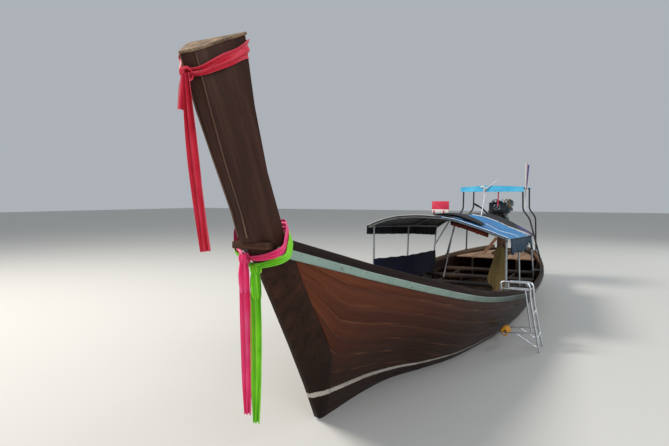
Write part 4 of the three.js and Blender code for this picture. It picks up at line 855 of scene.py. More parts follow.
runs.append(([(MIDDLE_BOW, -0.200, bow_height(MIDDLE_BOW, -0.200)), strut_foot], PIPE_R - 0.006))
piped("canopy_pipes", runs, "boat", galvanised, ["canopy_frame"])
piped("canopy_clamps", clamps, "boat", cast_alloy)
prop_line = [(MIDDLE_BOW, -0.150, bow_height(MIDDLE_BOW, -0.150)), (MIDDLE_BOW, -0.330, THWART_Z + 0.06)]
piped("crown_prop", [(prop_line, PIPE_R - 0.007)], "boat", flag_pipe)
rope_finish, tree, shader = new_finish("braided_nylon_cord", roughness=0.8)
braid_look = {"Vector": coords(tree), "Scale": 60.0, "Distortion": 3.0}
braid = add(tree, "TexWave", braid_look, bands_direction="DIAGONAL").outputs["Fac"]
braid_tone = blend_colours(tree, between(tree, braid, 0.2, 0.8), "#8f8b80", "#dcd8cc")
braid_bump = add(tree, "Bump", {"Height": braid, "Strength": 0.4, "Distance": 0.001})
tree.links.new(braid_tone, shader.inputs["Base Color"])
tree.links.new(braid_bump.outputs[0], shader.inputs["Normal"])


def lashing(centre, axis, radius, turns=4, cord=0.0028):
    """A few tight turns of cord round a pipe."""
    axis = Vector(axis).normalized()
    side = axis.orthogonal().normalized()
    up = axis.cross(side)
    path = []
    for i in range(turns * 8 + 1):
        angle = i / 8 * 2 * math.pi
        out = (side * math.cos(angle) + up * math.sin(angle)) * (radius + cord)
        path.append(Vector(centre) + out + axis * (i / 8 - turns / 2) * cord * 2.1)
    return (path, cord, 0.0005)


lashings = []
for x, *_, wide in BOWS:
    inward = 0.022 if x < 0 else -0.022
    for v in LONG_PIPES:
        centre = (x + inward, v * wide, bow_height(x, v * wide) - 0.001)
        lashings.append(lashing(centre, (1, 0, 0), PIPE_R - 0.002))
piped("canopy_lashings", lashings, "boat", rope_finish, sides=4)
print("canopy pipes", len(runs), "lashings", len(lashings))

# %% [markdown]
# Woven cloth: two sets of threads cross at right angles, drawn on the sheet's UV map in metres.
# Real threads are under a millimetre, so they are drawn a few times coarser to show at all. Sun
# has bleached the upper folds, dust sits in broad patches, and sewn seams run at fixed places.


# %% Cloth finishes
def woven(name, colour, faded, thread=0.004, rough=0.7, sheen=0.2, seams=(), seam_colour="", glow=0.0):
    material, tree, shader = new_finish(name, sheen_weight=sheen, sheen_roughness=0.5)
    place = coords(tree, "UV")
    axes = axes_of(tree, place)
    threads = [work_out(tree, "MULTIPLY", axes[axis], 2 * math.pi / thread) for axis in "XY"]
    weave = work_out(tree, "MULTIPLY", *[work_out(tree, "SINE", t) for t in threads])
    patch, slub = noise(tree, place, 3.0, 6, 0.65), noise(tree, place, 70.0, 3)
    tone = blend_colours(tree, between(tree, patch, 0.35, 0.75), colour, faded)
    tone = blend_colours(tree, between(tree, slub, 0.45, 0.8, 0.0, 0.25), tone, faded)
    tone = blend_colours(tree, between(tree, weave, -1, 1, 0.0, 0.18), tone, "#101216")
    for at, wide in seams:
        off = work_out(tree, "ABSOLUTE", work_out(tree, "ADD", axes["X"], -at))
        tone = blend_colours(tree, between(tree, off, wide, wide + 0.002, 0.85, 0.0), tone, seam_colour)
    dull = between(tree, patch, 0.3, 0.7, rough - 0.1, rough + 0.1)
    link_finish(tree, shader, tone, dull, weave, 0.25, 0.0006)
    if glow:
        shader.inputs["Subsurface Weight"].default_value = glow
        shader.inputs["Subsurface Radius"].default_value = (0.02, 0.02, 0.02)
    return material


blue_tarp = woven("blue_polyethylene_tarp", "#0963a6", "#1c8cc6", rough=0.62, sheen=0.0, glow=0.1)
cyan_tarp = woven("cyan_polyethylene_tarp", "#22a9de", "#6fd2f2", rough=0.5, sheen=0.0, glow=0.1)
black_canvas = woven(
    "dark_canvas_roof", "#181b24", "#343842", rough=0.9, sheen=0.1, seams=[(-0.10, 0.004)],
    seam_colour="#3c404a",
)
# Painted shade: the dark roof cloth goes almost black from x -0.7 to x -1.3 and aft of it.
shade_towards(black_canvas, "X", -0.7, -1.3, 0.85, "#07080b")
navy_canvas = woven("navy_valance_canvas", "#080a14", "#121726", rough=0.95, sheen=0.0)
screen_canvas = woven(
    "navy_screen_canvas", "#070b22", "#121a40", rough=0.9, sheen=0.0, seams=[(-0.04, 0.005)],
    seam_colour="#04050c",
)
curtain_cloth = woven("faded_blue_curtain", "#1a2f40", "#3d5a6c", rough=0.85, sheen=0.05)
patched_canvas = woven("patched_aft_canvas", "#08090d", "#15181f", rough=0.95, sheen=0.0)
tree, base, patched = current_colour(patched_canvas)
cloth_uv = coords(tree, "UV")
near_eave = between(tree, axes_of(tree, cloth_uv)["Y"], 0.56, 0.66)
for colour, scale, low in (("#37457e", 5.0, 0.52), ("#685872", 8.0, 0.57), ("#8a4a44", 11.0, 0.62)):
    patch = between(tree, noise(tree, cloth_uv, scale), low, low + 0.04)
    patched = blend_colours(tree, work_out(tree, "MULTIPLY", patch, near_eave), patched, colour)
tree.links.new(patched, base)
print("cloths made")

# %% [markdown]
# A sheet is written as a grid of points, because a roof cloth has to follow the bows, sag between
# them and crease towards its ties. It is given a small thickness, a bolt rope along its border,
# and the flat size that it would be cut to is printed.


# %% Sheets
def measure(grid):
    across = np.linalg.norm(np.diff(grid, axis=1), axis=2).sum(axis=1).mean()
    along = np.linalg.norm(np.diff(grid, axis=0), axis=2).sum(axis=0).mean()
    return round(float(across), 2), round(float(along), 2)


def sheet(name, grids, body, finish, nodes, thick=0.0025, hem=0.0, uvs=None):
    grids = [np.asarray(g, float) for g in grids]
    points, faces, maps = [], [], []
    for n, grid in enumerate(grids):
        rows, columns = grid.shape[:2]
        start = len(points)
        points.extend(map(tuple, grid.reshape(-1, 3)))
        if uvs is None:
            wide, long = measure(grid)
            u, v = np.meshgrid(np.linspace(0, wide, columns), np.linspace(0, long, rows))
            maps.extend(zip(v.ravel() + 1.7 * n, u.ravel()))
        else:
            maps.extend(map(tuple, np.asarray(uvs[n]).reshape(-1, 2)))
        for r in range(rows - 1):
            for c in range(columns - 1):
                a = start + r * columns + c
                faces.append((a, a + 1, a + 1 + columns, a + columns))
    piece = put_in_scene(name, mesh_from(name, points, faces, maps))
    make_active(piece)
    solid = piece.modifiers.new("cloth_thickness", "SOLIDIFY")
    solid.thickness, solid.offset = thick, 0
    bpy.ops.object.modifier_apply(modifier=solid.name)
    finish_piece(piece, body, finish, nodes, smooth=60)
    sizes = [measure(g) for g in grids]
    wide = round(sum(w for w, l in sizes) / len(sizes), 2)
    long = round(sum(w * l for w, l in sizes) / wide, 2)
    hems = []
    if hem:
        border = [list(map(tuple, side)) for g in grids for side in (g[0], g[-1], g[:, 0], g[:, -1])]
        hems = [piped(name + "_hem", [(side, hem, 0.002) for side in border], body, finish, sides=4)]
    print(name, "flat", wide, long)


def mesh_grid(us, vs, point):
    return np.array([[point(u, v) for v in vs] for u in us])


# %% Roof cloths
CLOTH_LIFT = 0.0168
CLOTH_FORE, CLOTH_AFT = 0.675, -2.125
STARBOARD_EDGE, SPLIT_V, PORT_EDGE = -0.872, 0.090, 0.888  # y at the front bow; the others are narrower
CREASES = [(23.0, 5.0, 0.0020), (11.0, -17.0, 0.0016), (41.0, 9.0, 0.0010)]


def cloth_lift(x, y):
    slope = (bow_height(x, y + 0.01) - bow_height(x, y - 0.01)) / 0.02
    return bow_height(x, y) + CLOTH_LIFT * math.hypot(1, slope)


def roof_point(x, v):
    """On the bows the cloth lies on the pipe; between them it sags, more towards the crown."""
    y = v * wide_at(x)
    bay = (FRONT_BOW, MIDDLE_BOW) if x > MIDDLE_BOW else (MIDDLE_BOW, AFT_BOW)
    span = min(max((bay[0] - x) / (bay[0] - bay[1]), 0), 1)
    beside = min(abs(np.array(LONG_PIPES) - v)) / 0.2
    sag = 0.030 * math.sin(math.pi * span) * min(beside, 1)
    crease = sum(h * math.sin(a * x + b * y) for a, b, h in CREASES) * min(beside, 1)
    return (x, y, cloth_lift(x, y) - sag + crease)


def blue_edge(v):
    """The port cloth ends behind the middle bow, further aft towards the eave."""
    return -0.900 - 0.25 * (max(v - SPLIT_V, 0) / 0.8) ** 1.5


def roof_sheet(name, finish, node, vs, fore, aft, rows=60):
    """fore and aft give x at the cloth's two ends for each v."""
    grid, uv = [], []
    for u in np.linspace(0, 1, rows):
        line = [(fore(v) + (aft(v) - fore(v)) * u, v) for v in vs]
        grid.append([roof_point(x, v) for x, v in line])
        uv += line
    sheet(name, [np.array(grid)], "boat", finish, [node], hem=0.0045, uvs=[uv])


dark_vs, port_vs = np.linspace(STARBOARD_EDGE, SPLIT_V, 34), np.linspace(SPLIT_V + 0.003, PORT_EDGE, 34)
roof_sheet("roof_cloth_dark", black_canvas, "canopy_cloth_dark", dark_vs,
           lambda v: CLOTH_FORE, lambda v: CLOTH_AFT)
roof_sheet("roof_cloth_blue", blue_tarp, "canopy_cloth_blue", port_vs, lambda v: CLOTH_FORE, blue_edge, 36)
roof_sheet("roof_cloth_aft", patched_canvas, "canopy_cloth_blue", port_vs, lambda v: blue_edge(v) - 0.006,
           lambda v: CLOTH_AFT, 26)

# %% [markdown]
# Pale cords and a grey lath hold the cloths down: the lath over the front bow's starboard half, a
# thick hem cord along the blue cloth's aft edge, and thin ones across it. A spare black cloth lies
# folded flat on the crown.

# %% Battens, hem cords and the folded cloth
lath = timber("grey_bamboo_lath", "#9c9c98", "#d2d2ce", "#77746c", along="y", wear=0.3, rough=0.7)


def over_roof(name, runs, finish):
    """Runs over the cloth: x at v, lowest v, highest v, radius."""
    laid = []
    for x_at, low, high, radius in runs:
        line = [roof_point(x_at(v), v) for v in np.linspace(low, high, 20)]
        laid.append(([(x, y, z + radius * 0.9) for x, y, z in line], radius, 0.01))
    piped(name, laid, "boat", finish, sides=8)


over_roof("roof_battens", [(lambda v: 0.662, -0.860, 0.02, 0.0065)], lath)
white_cord = speckled("sunbleached_white_cord", "#e4e6e6", "#a9aca8", 14.0, 0.4, 0.7, 4, roughness=0.8)
over_roof("roof_hem_cords", [
    (lambda v: blue_edge(v) - 0.004, 0.10, 0.886, 0.0075), (lambda v: 0.673, 0.11, 0.886, 0.0045),
    (lambda v: -0.180, 0.46, 0.884, 0.0035), (lambda v: -1.450, 0.62, 0.884, 0.0050),
], white_cord)

FOLD_LOW, FOLD_HIGH = -0.060, 0.520
FOLD_FORE, FOLD_AFT, FOLD_LAYERS, FOLD_RISE = 0.500, 0.140, 4, 0.0105


def fold_point(y, turn):
    """turn runs along the folded strip: each whole step lays one layer back over the last."""
    layer = min(int(turn), FOLD_LAYERS - 1)
    share = turn - layer
    reach = share if layer % 2 == 0 else 1 - share
    swell = max(math.sin(math.pi * (y - FOLD_LOW) / (FOLD_HIGH - FOLD_LOW)), 0) ** 0.6
    round_off = 0.5 * (1 - math.cos(math.pi * share))
    across = 0.5 + (reach - 0.5) * (0.55 + 0.45 * swell)
    x = FOLD_AFT + (FOLD_FORE - FOLD_AFT) * across + 0.006 * math.sin(17 * y + layer)
    ground = cloth_lift(x, y) + 0.008
    lumps = 0.003 * math.sin(21 * y + 2 * layer) * share * (1 - share) * 4
    return (x, y, ground + (0.0022 + FOLD_RISE * swell) * (layer + 0.35 * round_off) + lumps * swell)


fold_ys = np.linspace(FOLD_LOW, FOLD_HIGH, 40)
sheet("crown_folded_cloth", [mesh_grid(fold_ys, np.linspace(0, FOLD_LAYERS - 0.001, 61), fold_point)], "boat",
      navy_canvas, [], thick=0.003)

# %% [markdown]
# The starboard valance hangs in shallow folds from the eave pipe. The side screen is laced up to
# the posts and stands on the rail. To port the curtain is bunched up under the eave.

# %% Valance, screen and curtain
VALANCE = np.array([(-2.040, 0.150), (-0.950, 0.128), (0.670, 0.104)])  # x, depth


def valance_point(x, drop):
    wave = 0.0025 + 0.006 * math.sin(31 * x) * drop + 0.004 * math.sin(13 * x + 1) * drop
    top = cloth_lift(x, STARBOARD_EDGE * wide_at(x)) + 0.003
    deep = float(np.interp(x, VALANCE[:, 0], VALANCE[:, 1]))
    return (x, -0.8725 * wide_at(x) - wave, top - deep * drop - 0.004 * abs(math.sin(9.3 * x)) * drop)


xs = np.linspace(0.670, -2.040, 110)
sheet("valance_folds", [mesh_grid(xs, np.linspace(0, 1, 9), valance_point)], "boat", navy_canvas,
      ["side_valance"], thick=0.002, hem=0.003)

SCREEN = np.array([(-1.980, 0.750), (-0.680, 0.785), (0.590, 0.862)])  # x, top
SCREEN_LOW = 0.404


def screen_point(x, share):
    top = float(np.interp(x, SCREEN[:, 0], SCREEN[:, 1])) - 0.008 * abs(math.sin(7.4 * x))
    z = top + (SCREEN_LOW - top) * share
    belly = 0.012 * math.sin(math.pi * share) * (1 + 0.7 * math.sin(5.1 * x))
    return (x, -post_breadth(x, z) + 0.0165 + belly, z)


xs = np.linspace(0.590, -1.980, 70)
screen_uv = [(x, share * 0.4) for x in xs for share in np.linspace(0, 1, 14)]
sheet("side_screen_canvas", [mesh_grid(xs, np.linspace(0, 1, 14), screen_point)], "boat", screen_canvas,
      ["side_screen"], thick=0.002, hem=0.004, uvs=[screen_uv])

CURTAIN_OUT = 0.0245  # outside the posts
CURTAIN = np.array([(-0.900, 0.170), (-0.500, 0.200), (0.000, 0.170), (0.380, 0.190)])  # x, depth


def curtain_point(u, drop):
    x = 0.380 - 1.280 * u
    deep = float(np.interp(x, CURTAIN[:, 0], CURTAIN[:, 1]))
    narrow = 0.016 * math.sin(2 * math.pi * 17 * u) * min(1, 0.25 + drop)
    fold = narrow + 0.008 * math.sin(2 * math.pi * 7 * u + 1)
    out = POST_Y * wide_at(x) + CURTAIN_OUT + 0.028 * drop + fold * (0.4 + 0.6 * drop)
    pinch = 0.03 * math.sin(2 * math.pi * 3 * u) * drop
    top = bow_height(x, EAVE_PIPE * wide_at(x)) - 0.015
    return (x + pinch, out, top - deep * drop * (0.94 + 0.06 * math.sin(40 * u)))


sheet("curtain_folds", [mesh_grid(np.linspace(0, 1, 180), np.linspace(0, 1, 16), curtain_point)], "boat",
      curtain_cloth, ["port_curtain"], thick=0.0018)


def loose_end_point(u, drop):
    """The curtain's loose end is tied up aft of the middle post and hangs in uneven lobes."""
    x = -0.920 - 1.000 * u
    deep = 0.120 + 0.060 * math.sin(7.5 * u + 1) + 0.030 * math.sin(23 * u)
    fold = 0.014 * math.sin(2 * math.pi * 13 * u) + 0.008 * math.sin(2 * math.pi * 5 * u)
    out = POST_Y * wide_at(x) + CURTAIN_OUT + 0.020 * drop + fold * (0.3 + 0.7 * drop)
    return (x, out, bow_height(x, EAVE_PIPE * wide_at(x)) - 0.018 - deep * drop)


loose_end = mesh_grid(np.linspace(0, 1, 130), np.linspace(0, 1, 14), loose_end_point)
sheet("curtain_loose_end", [loose_end], "boat", curtain_cloth, [], thick=0.0018)

# %% [markdown]
# The small canopy over the engine is one tarpaulin, drawn down at its edges.

# %% Engine canopy cloth
HOOP_TOP, HOOP_HALF, HOOP_R = 1.825, 0.520, 0.013
CYAN_CROWN, CYAN_DROP, CYAN_HALF = 1.8666, 0.026, 0.545
CYAN_MIDDLE, CYAN_REACH = -3.2525, 0.5075
SKIRT_Z = HOOP_TOP - 0.060


def cyan_point(x, v):
    end = 1 - min(abs((x - CYAN_MIDDLE) / CYAN_REACH), 1) ** 6
    z = CYAN_CROWN - CYAN_DROP * abs(v) ** 1.6 - 0.006 * math.sin(19 * x) * abs(v) * end - 0.004 * end
    return (x, CYAN_HALF * v, z)


def flap_point(v, drop):
    top = CYAN_CROWN - CYAN_DROP * abs(v) ** 1.6
    wave = 0.005 * math.sin(9 * v + 1) * drop + 0.003 * math.sin(31 * v) * drop
    z = top + (SKIRT_Z + 0.002 - top) * drop - 0.003 * abs(math.sin(11 * v)) * drop
    return (-2.7455 + wave, CYAN_HALF * v, z)


grid = mesh_grid(np.linspace(-2.746, -3.760, 32), np.linspace(-1, 1, 35), cyan_point)
flap = mesh_grid(np.linspace(-1, 1, 60), np.linspace(0, 1, 8), flap_point)
sheet("engine_roof_cloth", [grid, flap], "boat", cyan_tarp, ["engine_canopy_cloth"],
      hem=0.004)

# %% [markdown]
# The flag hangs limp from its pole in long folds, white, violet and red, with the colours in
# bands along its fly.

# %% Flag
FLAG_X, FLAG_Y, FLAG_LOW, FLAG_TOP = -2.850, 0.566, 1.790, 2.265
FLAG_BANDS = ((0, "#c8283c"), (0.17, "#eeeaf2"), (0.34, "#4b3f86"), (0.66, "#eeeaf2"), (0.83, "#c8283c"))
flag_cloth = woven("flag_bunting", "#dcd6e6", "#f2eff5", thread=0.003)
tree, base, plain = current_colour(flag_cloth)
bands = add(tree, "ValToRGB", {"Fac": between(tree, axes_of(tree, coords(tree, "UV"))["Y"], 0, 0.3)})
bands.color_ramp.interpolation = "CONSTANT"
stops = bands.color_ramp.elements
for k, (at, colour) in enumerate(FLAG_BANDS):
    stop = stops[k] if k < 2 else stops.new(at)
    stop.position, stop.color = at, linear(colour)
tree.links.new(bands.outputs["Color"], base)


def flag_point(v, u):
    spread = 0.075 * (0.55 + 0.45 * (1 - v)) + 0.012
    fold = 0.5 + 0.5 * math.sin(2 * math.pi * 2.25 * u)
    out = 0.011 + spread * (0.2 * u + 0.8 * fold * u ** 0.5)
    side = 0.014 * math.sin(2 * math.pi * 3.1 * u + 2 * v) * u
    x, y = FLAG_X - out * 0.85 - side * 0.5, FLAG_Y + out * 0.42 - side * 0.8 + 0.006
    droop = 0.045 * u * (1 - v)
    return (x, y, FLAG_TOP - (FLAG_TOP - FLAG_LOW) * v * (1 - 0.05 * u) - droop)


sheet("flag_folds", [mesh_grid(np.linspace(0, 1, 40), np.linspace(0, 1, 44), flag_point)], "boat", flag_cloth,
      ["flag"], thick=0.001)

# %% [markdown]
# Two black hoops stand on the rails aft and carry the small canopy; the flag pole stands beside
# them. The rolled screen is a mat of brown slats tied up under the front bow.

# %% Engine canopy frame, flag pole, rolled screen and sign
hoops = []
for x in (-2.850, -3.650):
    half, sheer = half_at(x), sheer_at(x)
    for side in (-1, 1):
        hoops.append(([
            (x, side * (half - 0.024), sheer + 0.004), (x, side * min(half - 0.040, 0.640), 1.290),
            (x, side * (HOOP_HALF + 0.005), 1.440), (x, side * HOOP_HALF, HOOP_TOP),
        ], 0.014))
        foot_y = side * (half - 0.024)
        hoops.append(([(x, foot_y, sheer + 0.001), (x, foot_y, sheer + 0.009)], 0.03))
    hoops.append(([(x, -0.535, HOOP_TOP), (x, 0, HOOP_TOP + 0.030), (x, 0.535, HOOP_TOP)], HOOP_R))
for side in (-1, 1):
    hoops.append(([(-2.760, side * HOOP_HALF, HOOP_TOP), (-3.740, side * HOOP_HALF, HOOP_TOP)], HOOP_R))
piped("engine_canopy_pipes", hoops, "boat", black_pipe, ["engine_canopy_frame"])
piped("flag_pole_pipe", [
    ([(FLAG_X, FLAG_Y, 1.460), (FLAG_X, FLAG_Y, 2.277)], 0.0095),
    ([(FLAG_X, FLAG_Y, 2.274), (FLAG_X, FLAG_Y, 2.284)], 0.012),
    ([(FLAG_X, 0.541, 1.505), (FLAG_X, FLAG_Y, 1.505)], 0.009),
    ([(FLAG_X, FLAG_Y, 1.488), (FLAG_X, FLAG_Y, 1.522)], 0.0125),
], "boat", flag_pipe, ["flag_pole"])

ROLL_R, SLATS, ROLL_X = 0.027, 20, 0.600
roll_line = []
for y in (0.20, 0.30, 0.40, 0.52, 0.64):
    slope = (bow_height(ROLL_X, y + 0.03) - bow_height(ROLL_X, y - 0.03)) / 0.06
    roll_line.append((ROLL_X, y, bow_height(ROLL_X, y) - 0.0405 * math.hypot(1, slope)))
mat_finish = timber("brown_palm_slats", "#24100c", "#7a2f24", "#a86a50", along="y", wear=0.4, rough=0.7)
slats = []
for k in range(SLATS):
    turn = 2 * math.pi * k / SLATS
    reach = ROLL_R - 0.004 - 0.005 * (k % 3 == 0)
    dx, dz = reach * math.cos(turn), reach * math.sin(turn)
    slats.append(([(x + dx, y, z + dz) for x, y, z in roll_line], 0.0042))
slats.append((roll_line, ROLL_R - 0.009))
for x, y, z in roll_line[1:4:2]:
    slats.append(lashing((x, y, z), (0, 1, -0.3), ROLL_R, turns=2, cord=0.004))
piped("rolled_mat", slats, "boat", mat_finish, ["rolled_screen"], sides=8)


def bevelled_box(name, size, middle, bevel):
    bpy.ops.mesh.primitive_cube_add(size=1)
    piece = bpy.context.active_object
    piece.name = name
    edit_all(
        piece, lambda: bpy.ops.transform.resize(value=size),
        lambda: bpy.ops.transform.translate(value=middle),
        lambda: bpy.ops.mesh.bevel(offset=bevel, segments=2),
    )
    return piece


sign_red = painted("red_sign_enamel", "#d8304e", "#b9b2ac", "#b52b44", chips=0.3, rough=0.35)
sign_white = painted("white_sign_enamel", "#e9e6e2", "#9a948c", "#cfc8bd", chips=0.3, rough=0.4)
shade_towards(sign_red, "Z", 1.464, 1.460, 1.0, "#34302e")
eased("sign_board", sign_red, 0.0015)
SIGN_X, SIGN_LOW, SIGN_HIGH = 0.300, -0.130, 0.090
sign_edge = [(SIGN_X, SIGN_LOW + 0.002, 1.470), (SIGN_X, SIGN_HIGH - 0.002, 1.470)]
piped("sign_foot_rail", [(sign_edge, 0.0078)], "boat", sign_white, sides=8)
sign_strip = bevelled_box("sign_strip", (0.0145, 0.216, 0.042), (SIGN_X, -0.020, 1.484), 0.001)
finish_piece(sign_strip, "boat", sign_white)

# %% [markdown]
# The boarding ladder is bent from stainless tube and hooks over the port rail. A pair of stays
# and a small orange float hold its foot off the planking.

# %% Boarding ladder
LADDER_XS = (0.640, 0.920)
LADDER_HEAD, LADDER_NECK, LADDER_FOOT = 1.150, 1.162, 1.285  # how far out the stiles are
FLOAT_Y, FLOAT_Z = 0.884, 0.166
neck_z = sheer_at(0.780) - 0.090


def stile_y(z):
    return LADDER_NECK + (LADDER_FOOT - LADDER_NECK) * (neck_z - z) / (neck_z + 0.150)


tubes, pads = [], []
for x in LADDER_XS:
    sheer = sheer_at(x)
    inside, top, bar = half_at(x) - RAIL_WIDTH - 0.014, sheer + 0.100, sheer + 0.024
    tubes.append(([
        (x, inside, sheer - 0.040), (x, inside, top - 0.02), (x, inside + 0.025, top),
        (x, LADDER_HEAD - 0.03, top), (x, LADDER_HEAD, top - 0.03),
        (x, LADDER_NECK, sheer - 0.090), (x, LADDER_FOOT, -0.150),
    ], 0.0125, 0.045))
    tubes.append(([(x, inside, bar), (x, LADDER_HEAD, bar)], 0.009))
    tubes.append(([(x, LADDER_HEAD - 0.045, bar), (x, stile_y(0.200) - 0.045, 0.200)], 0.009))
    tubes.append(([(x, stile_y(0.205), 0.205), (x, 0.866, FLOAT_Z)], 0.009))
    tubes.append(([(x, stile_y(0.040), 0.040), (x, 1.010, 0.180)], 0.008))
    pads.append(([(x, inside, sheer - 0.044), (x, inside, sheer - 0.020)], 0.017))
for z in (0.400, 0.150, -0.100):
    tubes.append(([(x, stile_y(z), z) for x in LADDER_XS], 0.0115))
for y in (0.960, 1.085):
    tubes.append(([(x, y, sheer_at(x) + 0.024) for x in LADDER_XS], 0.009))
tubes.append(([(LADDER_XS[0] - 0.010, FLOAT_Y, FLOAT_Z), (LADDER_XS[1] + 0.010, FLOAT_Y, FLOAT_Z)], 0.0092))
piped("ladder_tubes", tubes, "boat", stainless, ["boarding_ladder"], sides=16)
rubber = metal("black_moulded_rubber", "#17181a", "#3a3a3a", rough=0.7, metallic=0.0)
piped("ladder_pads", pads, "boat", rubber, sides=16)
float_foam = painted("orange_foam_float", "#d8921f", "#8a5a1c", "#b9761a", chips=0.25, rough=0.7)
bpy.ops.object.select_all(action="DESELECT")
bpy.ops.mesh.primitive_torus_add(
    major_segments=40, minor_segments=20, major_radius=0.030, minor_radius=0.020,
    location=(0, 0, 0), rotation=(0, 0, 0),
)
ring = bpy.context.active_object
ring.name = "float_rings"
edit_all(
    ring, lambda: bpy.ops.transform.resize(value=(1, 1, 1.85)),
    lambda: bpy.ops.transform.rotate(value=math.radians(90), orient_axis="Y", center_override=(0, 0, 0)),
    lambda: bpy.ops.transform.translate(value=(0.740, FLOAT_Y, FLOAT_Z)),
    lambda: bpy.ops.mesh.duplicate_move(TRANSFORM_OT_translate={"value": (0.080, 0, 0)}),
    lambda: bpy.ops.mesh.select_all(action="SELECT"), face_outwards,
)
finish_piece(ring, "boat", float_foam, ["ladder_float"])

# %% [markdown]
# Three sheer ribbons dress the bow. Each is a long strip of thin dyed cloth gathered into deep
# pleats: a band round the timber, a knot in front, and tails that hang free. A pleated strip is
# swept along a path; the pleats hold the full width of the cloth, so its real flat size is kept.

# %% Pleated ribbon


def ribbon(path, facings, widths, cloth_width, pleats, phase=0.0, rows=60, columns=None):
    """A strip swept along path. facings point out of its face, widths are how broad it shows."""
    columns = columns or pleats * 8 + 1
    path, facings = np.array(path, float), np.array(facings, float)
    run = np.concatenate([[0], np.cumsum(np.linalg.norm(np.diff(path, axis=0), axis=1))])
    at = np.linspace(0, run[-1], rows)
    centre = np.stack([smooth_through(run, path[:, k], at) for k in range(3)], axis=1)
    out = np.stack([np.interp(at, run, facings[:, k]) for k in range(3)], axis=1)
    wide = np.interp(at, run, widths)
    way = np.gradient(centre, axis=0)
    way /= np.linalg.norm(way, axis=1)[:, None]
    out -= (out * way).sum(axis=1)[:, None] * way
    out /= np.linalg.norm(out, axis=1)[:, None]
    across = np.cross(way, out)
    share = np.linspace(-0.5, 0.5, columns)
    grid = []
    for k in range(rows):
        deep = math.sqrt(max(cloth_width ** 2 - wide[k] ** 2, 0)) / (4 * pleats)
        drift = phase + 0.9 * math.sin(3 * at[k] + phase)
        fold = np.sin(2 * math.pi * pleats * share + drift) + 0.35 * np.sin(4.4 * share * pleats + 5 * at[k])
        grid.append(centre[k] + np.outer(share * wide[k], across[k]) + np.outer(deep * fold + deep, out[k]))
    return np.array(grid)
    return np.array(grid)


def knot(centre, size, cloth_width, facing, phase=0.0):
    """A short pleated strip wound round itself, lumpy as a pulled knot is."""
    turn = np.array(Vector(facing).to_track_quat("Y", "Z").to_matrix())
    path, facings = [], []
    for angle in np.linspace(0, 2 * math.pi * 1.15, 16):
        lump = 1 + 0.16 * math.sin(2 * angle + phase)
        out = turn @ np.array([math.cos(angle) * size[0], math.sin(angle) * size[1], 0])
        path.append(np.array(centre) + out * lump * (0.55 + 0.05 * angle / math.pi))
        facings.append(out / np.linalg.norm(out))
    return ribbon(path, facings, [size[2]] * 16, cloth_width, 4, phase, rows=34)


def chiffon(name, colour, pale):
    return woven(name, colour, pale, thread=0.0022, rough=0.5, sheen=0.1, glow=0.15)


red_chiffon = chiffon("red_dyed_voile", "#cc1233", "#ea3a56")
pink_chiffon = chiffon("pink_dyed_voile", "#f01f6c", "#ff6aa4")
green_chiffon = chiffon("green_dyed_voile", "#6fcc10", "#a2ec30")

# %% Ribbons on the bow
PROW = np.array([  # front x, z, half breadth; aft x, z, half breadth
    (4.345, 1.395, 0.030, 4.105, 1.340, 0.158), (4.400, 1.560, 0.032, 4.190, 1.505, 0.168),
    (4.544, 1.848, 0.036, 4.340, 1.800, 0.176), (4.671, 2.123, 0.046, 4.470, 2.150, 0.187),
    (4.776, 2.384, 0.051, 4.564, 2.499, 0.199),
])


def prow_at(front_z, aft_z):
    front = [float(np.interp(front_z, PROW[:, 1], PROW[:, k])) for k in range(3)]
    return front + [float(np.interp(aft_z, PROW[:, 4], PROW[:, k])) for k in range(3, 6)]


def looped(port):
    """A band's path from points on the port side, mirrored to starboard and closed in front."""
    (front_x, _, front_z), (aft_x, _, aft_z) = port[0], port[-1]
    middle_x = sum(p[0] for p in port) / len(port)
    path = [(front_x + 0.001, 0.0, front_z), *port, (aft_x - 0.004, 0, aft_z)]
    path += [(x, -y, z) for x, y, z in port[::-1]] + [(front_x + 0.001, -0.0005, front_z)]
    return path, [((x - middle_x) * 1.6, y, 0.0) for x, y, z in path]


def hanging(top, foot, bow=(0.0, 0.0)):
    """A tail's path, which bows out a little between its ends."""
    top, foot, bow = np.array(top), np.array(foot), np.array([*bow, 0])
    path = [top + (foot - top) * t + bow * math.sin(math.pi * t) for t in np.linspace(0, 1, 7)]
    return path, [(1.0, 0.5, 0.0)] * 7


fx, fz, fh, ax, az, ah = prow_at(2.285, 2.437)
red_half = [
    (fx + 0.010, fh * 0.7, fz + 0.004), (fx + 0.003, fh + 0.008, fz + 0.008),
    ((fx + ax) / 2 + 0.008, (fh + ah) / 2 + 0.010, (fz + az) / 2), (ax + 0.012, ah + 0.008, az - 0.008),
    (ax - 0.012, ah - 0.012, az),
]
band_path, band_out = looped(red_half)
band_wide = [0.042, 0.042, 0.046, 0.072, 0.098, 0.10, 0.10, 0.10, 0.098, 0.072, 0.046, 0.042, 0.042]
RED_KNOT = (fx + 0.030, -0.020, 2.284)
tail_foot = (fx - 0.020, 0.053, 1.374)
tail_wide = [0.040, 0.05, 0.058, 0.060, 0.056, 0.054, 0.055]
end_wide = [0.028, 0.036, 0.042, 0.042, 0.040, 0.040, 0.036]
short_tail = hanging((fx + 0.034, -0.034, 2.276), (fx + 0.040, -0.052, 2.100))
grids = [
    ribbon(band_path, band_out, band_wide, 0.106, 2, rows=90, columns=33),
    knot(RED_KNOT, (0.036, 0.040, 0.050), 0.11, (0.2, 0.3, 1)),
    ribbon(*hanging(RED_KNOT, tail_foot, (0.006, -0.006)), tail_wide, 0.125, 2, 0.4),
    ribbon(*short_tail, end_wide, 0.085, 1, phase=1.0, rows=22, columns=17),
]
sheet("red_ribbon", grids, "boat", red_chiffon, ["ribbon_red"], thick=0.0012)

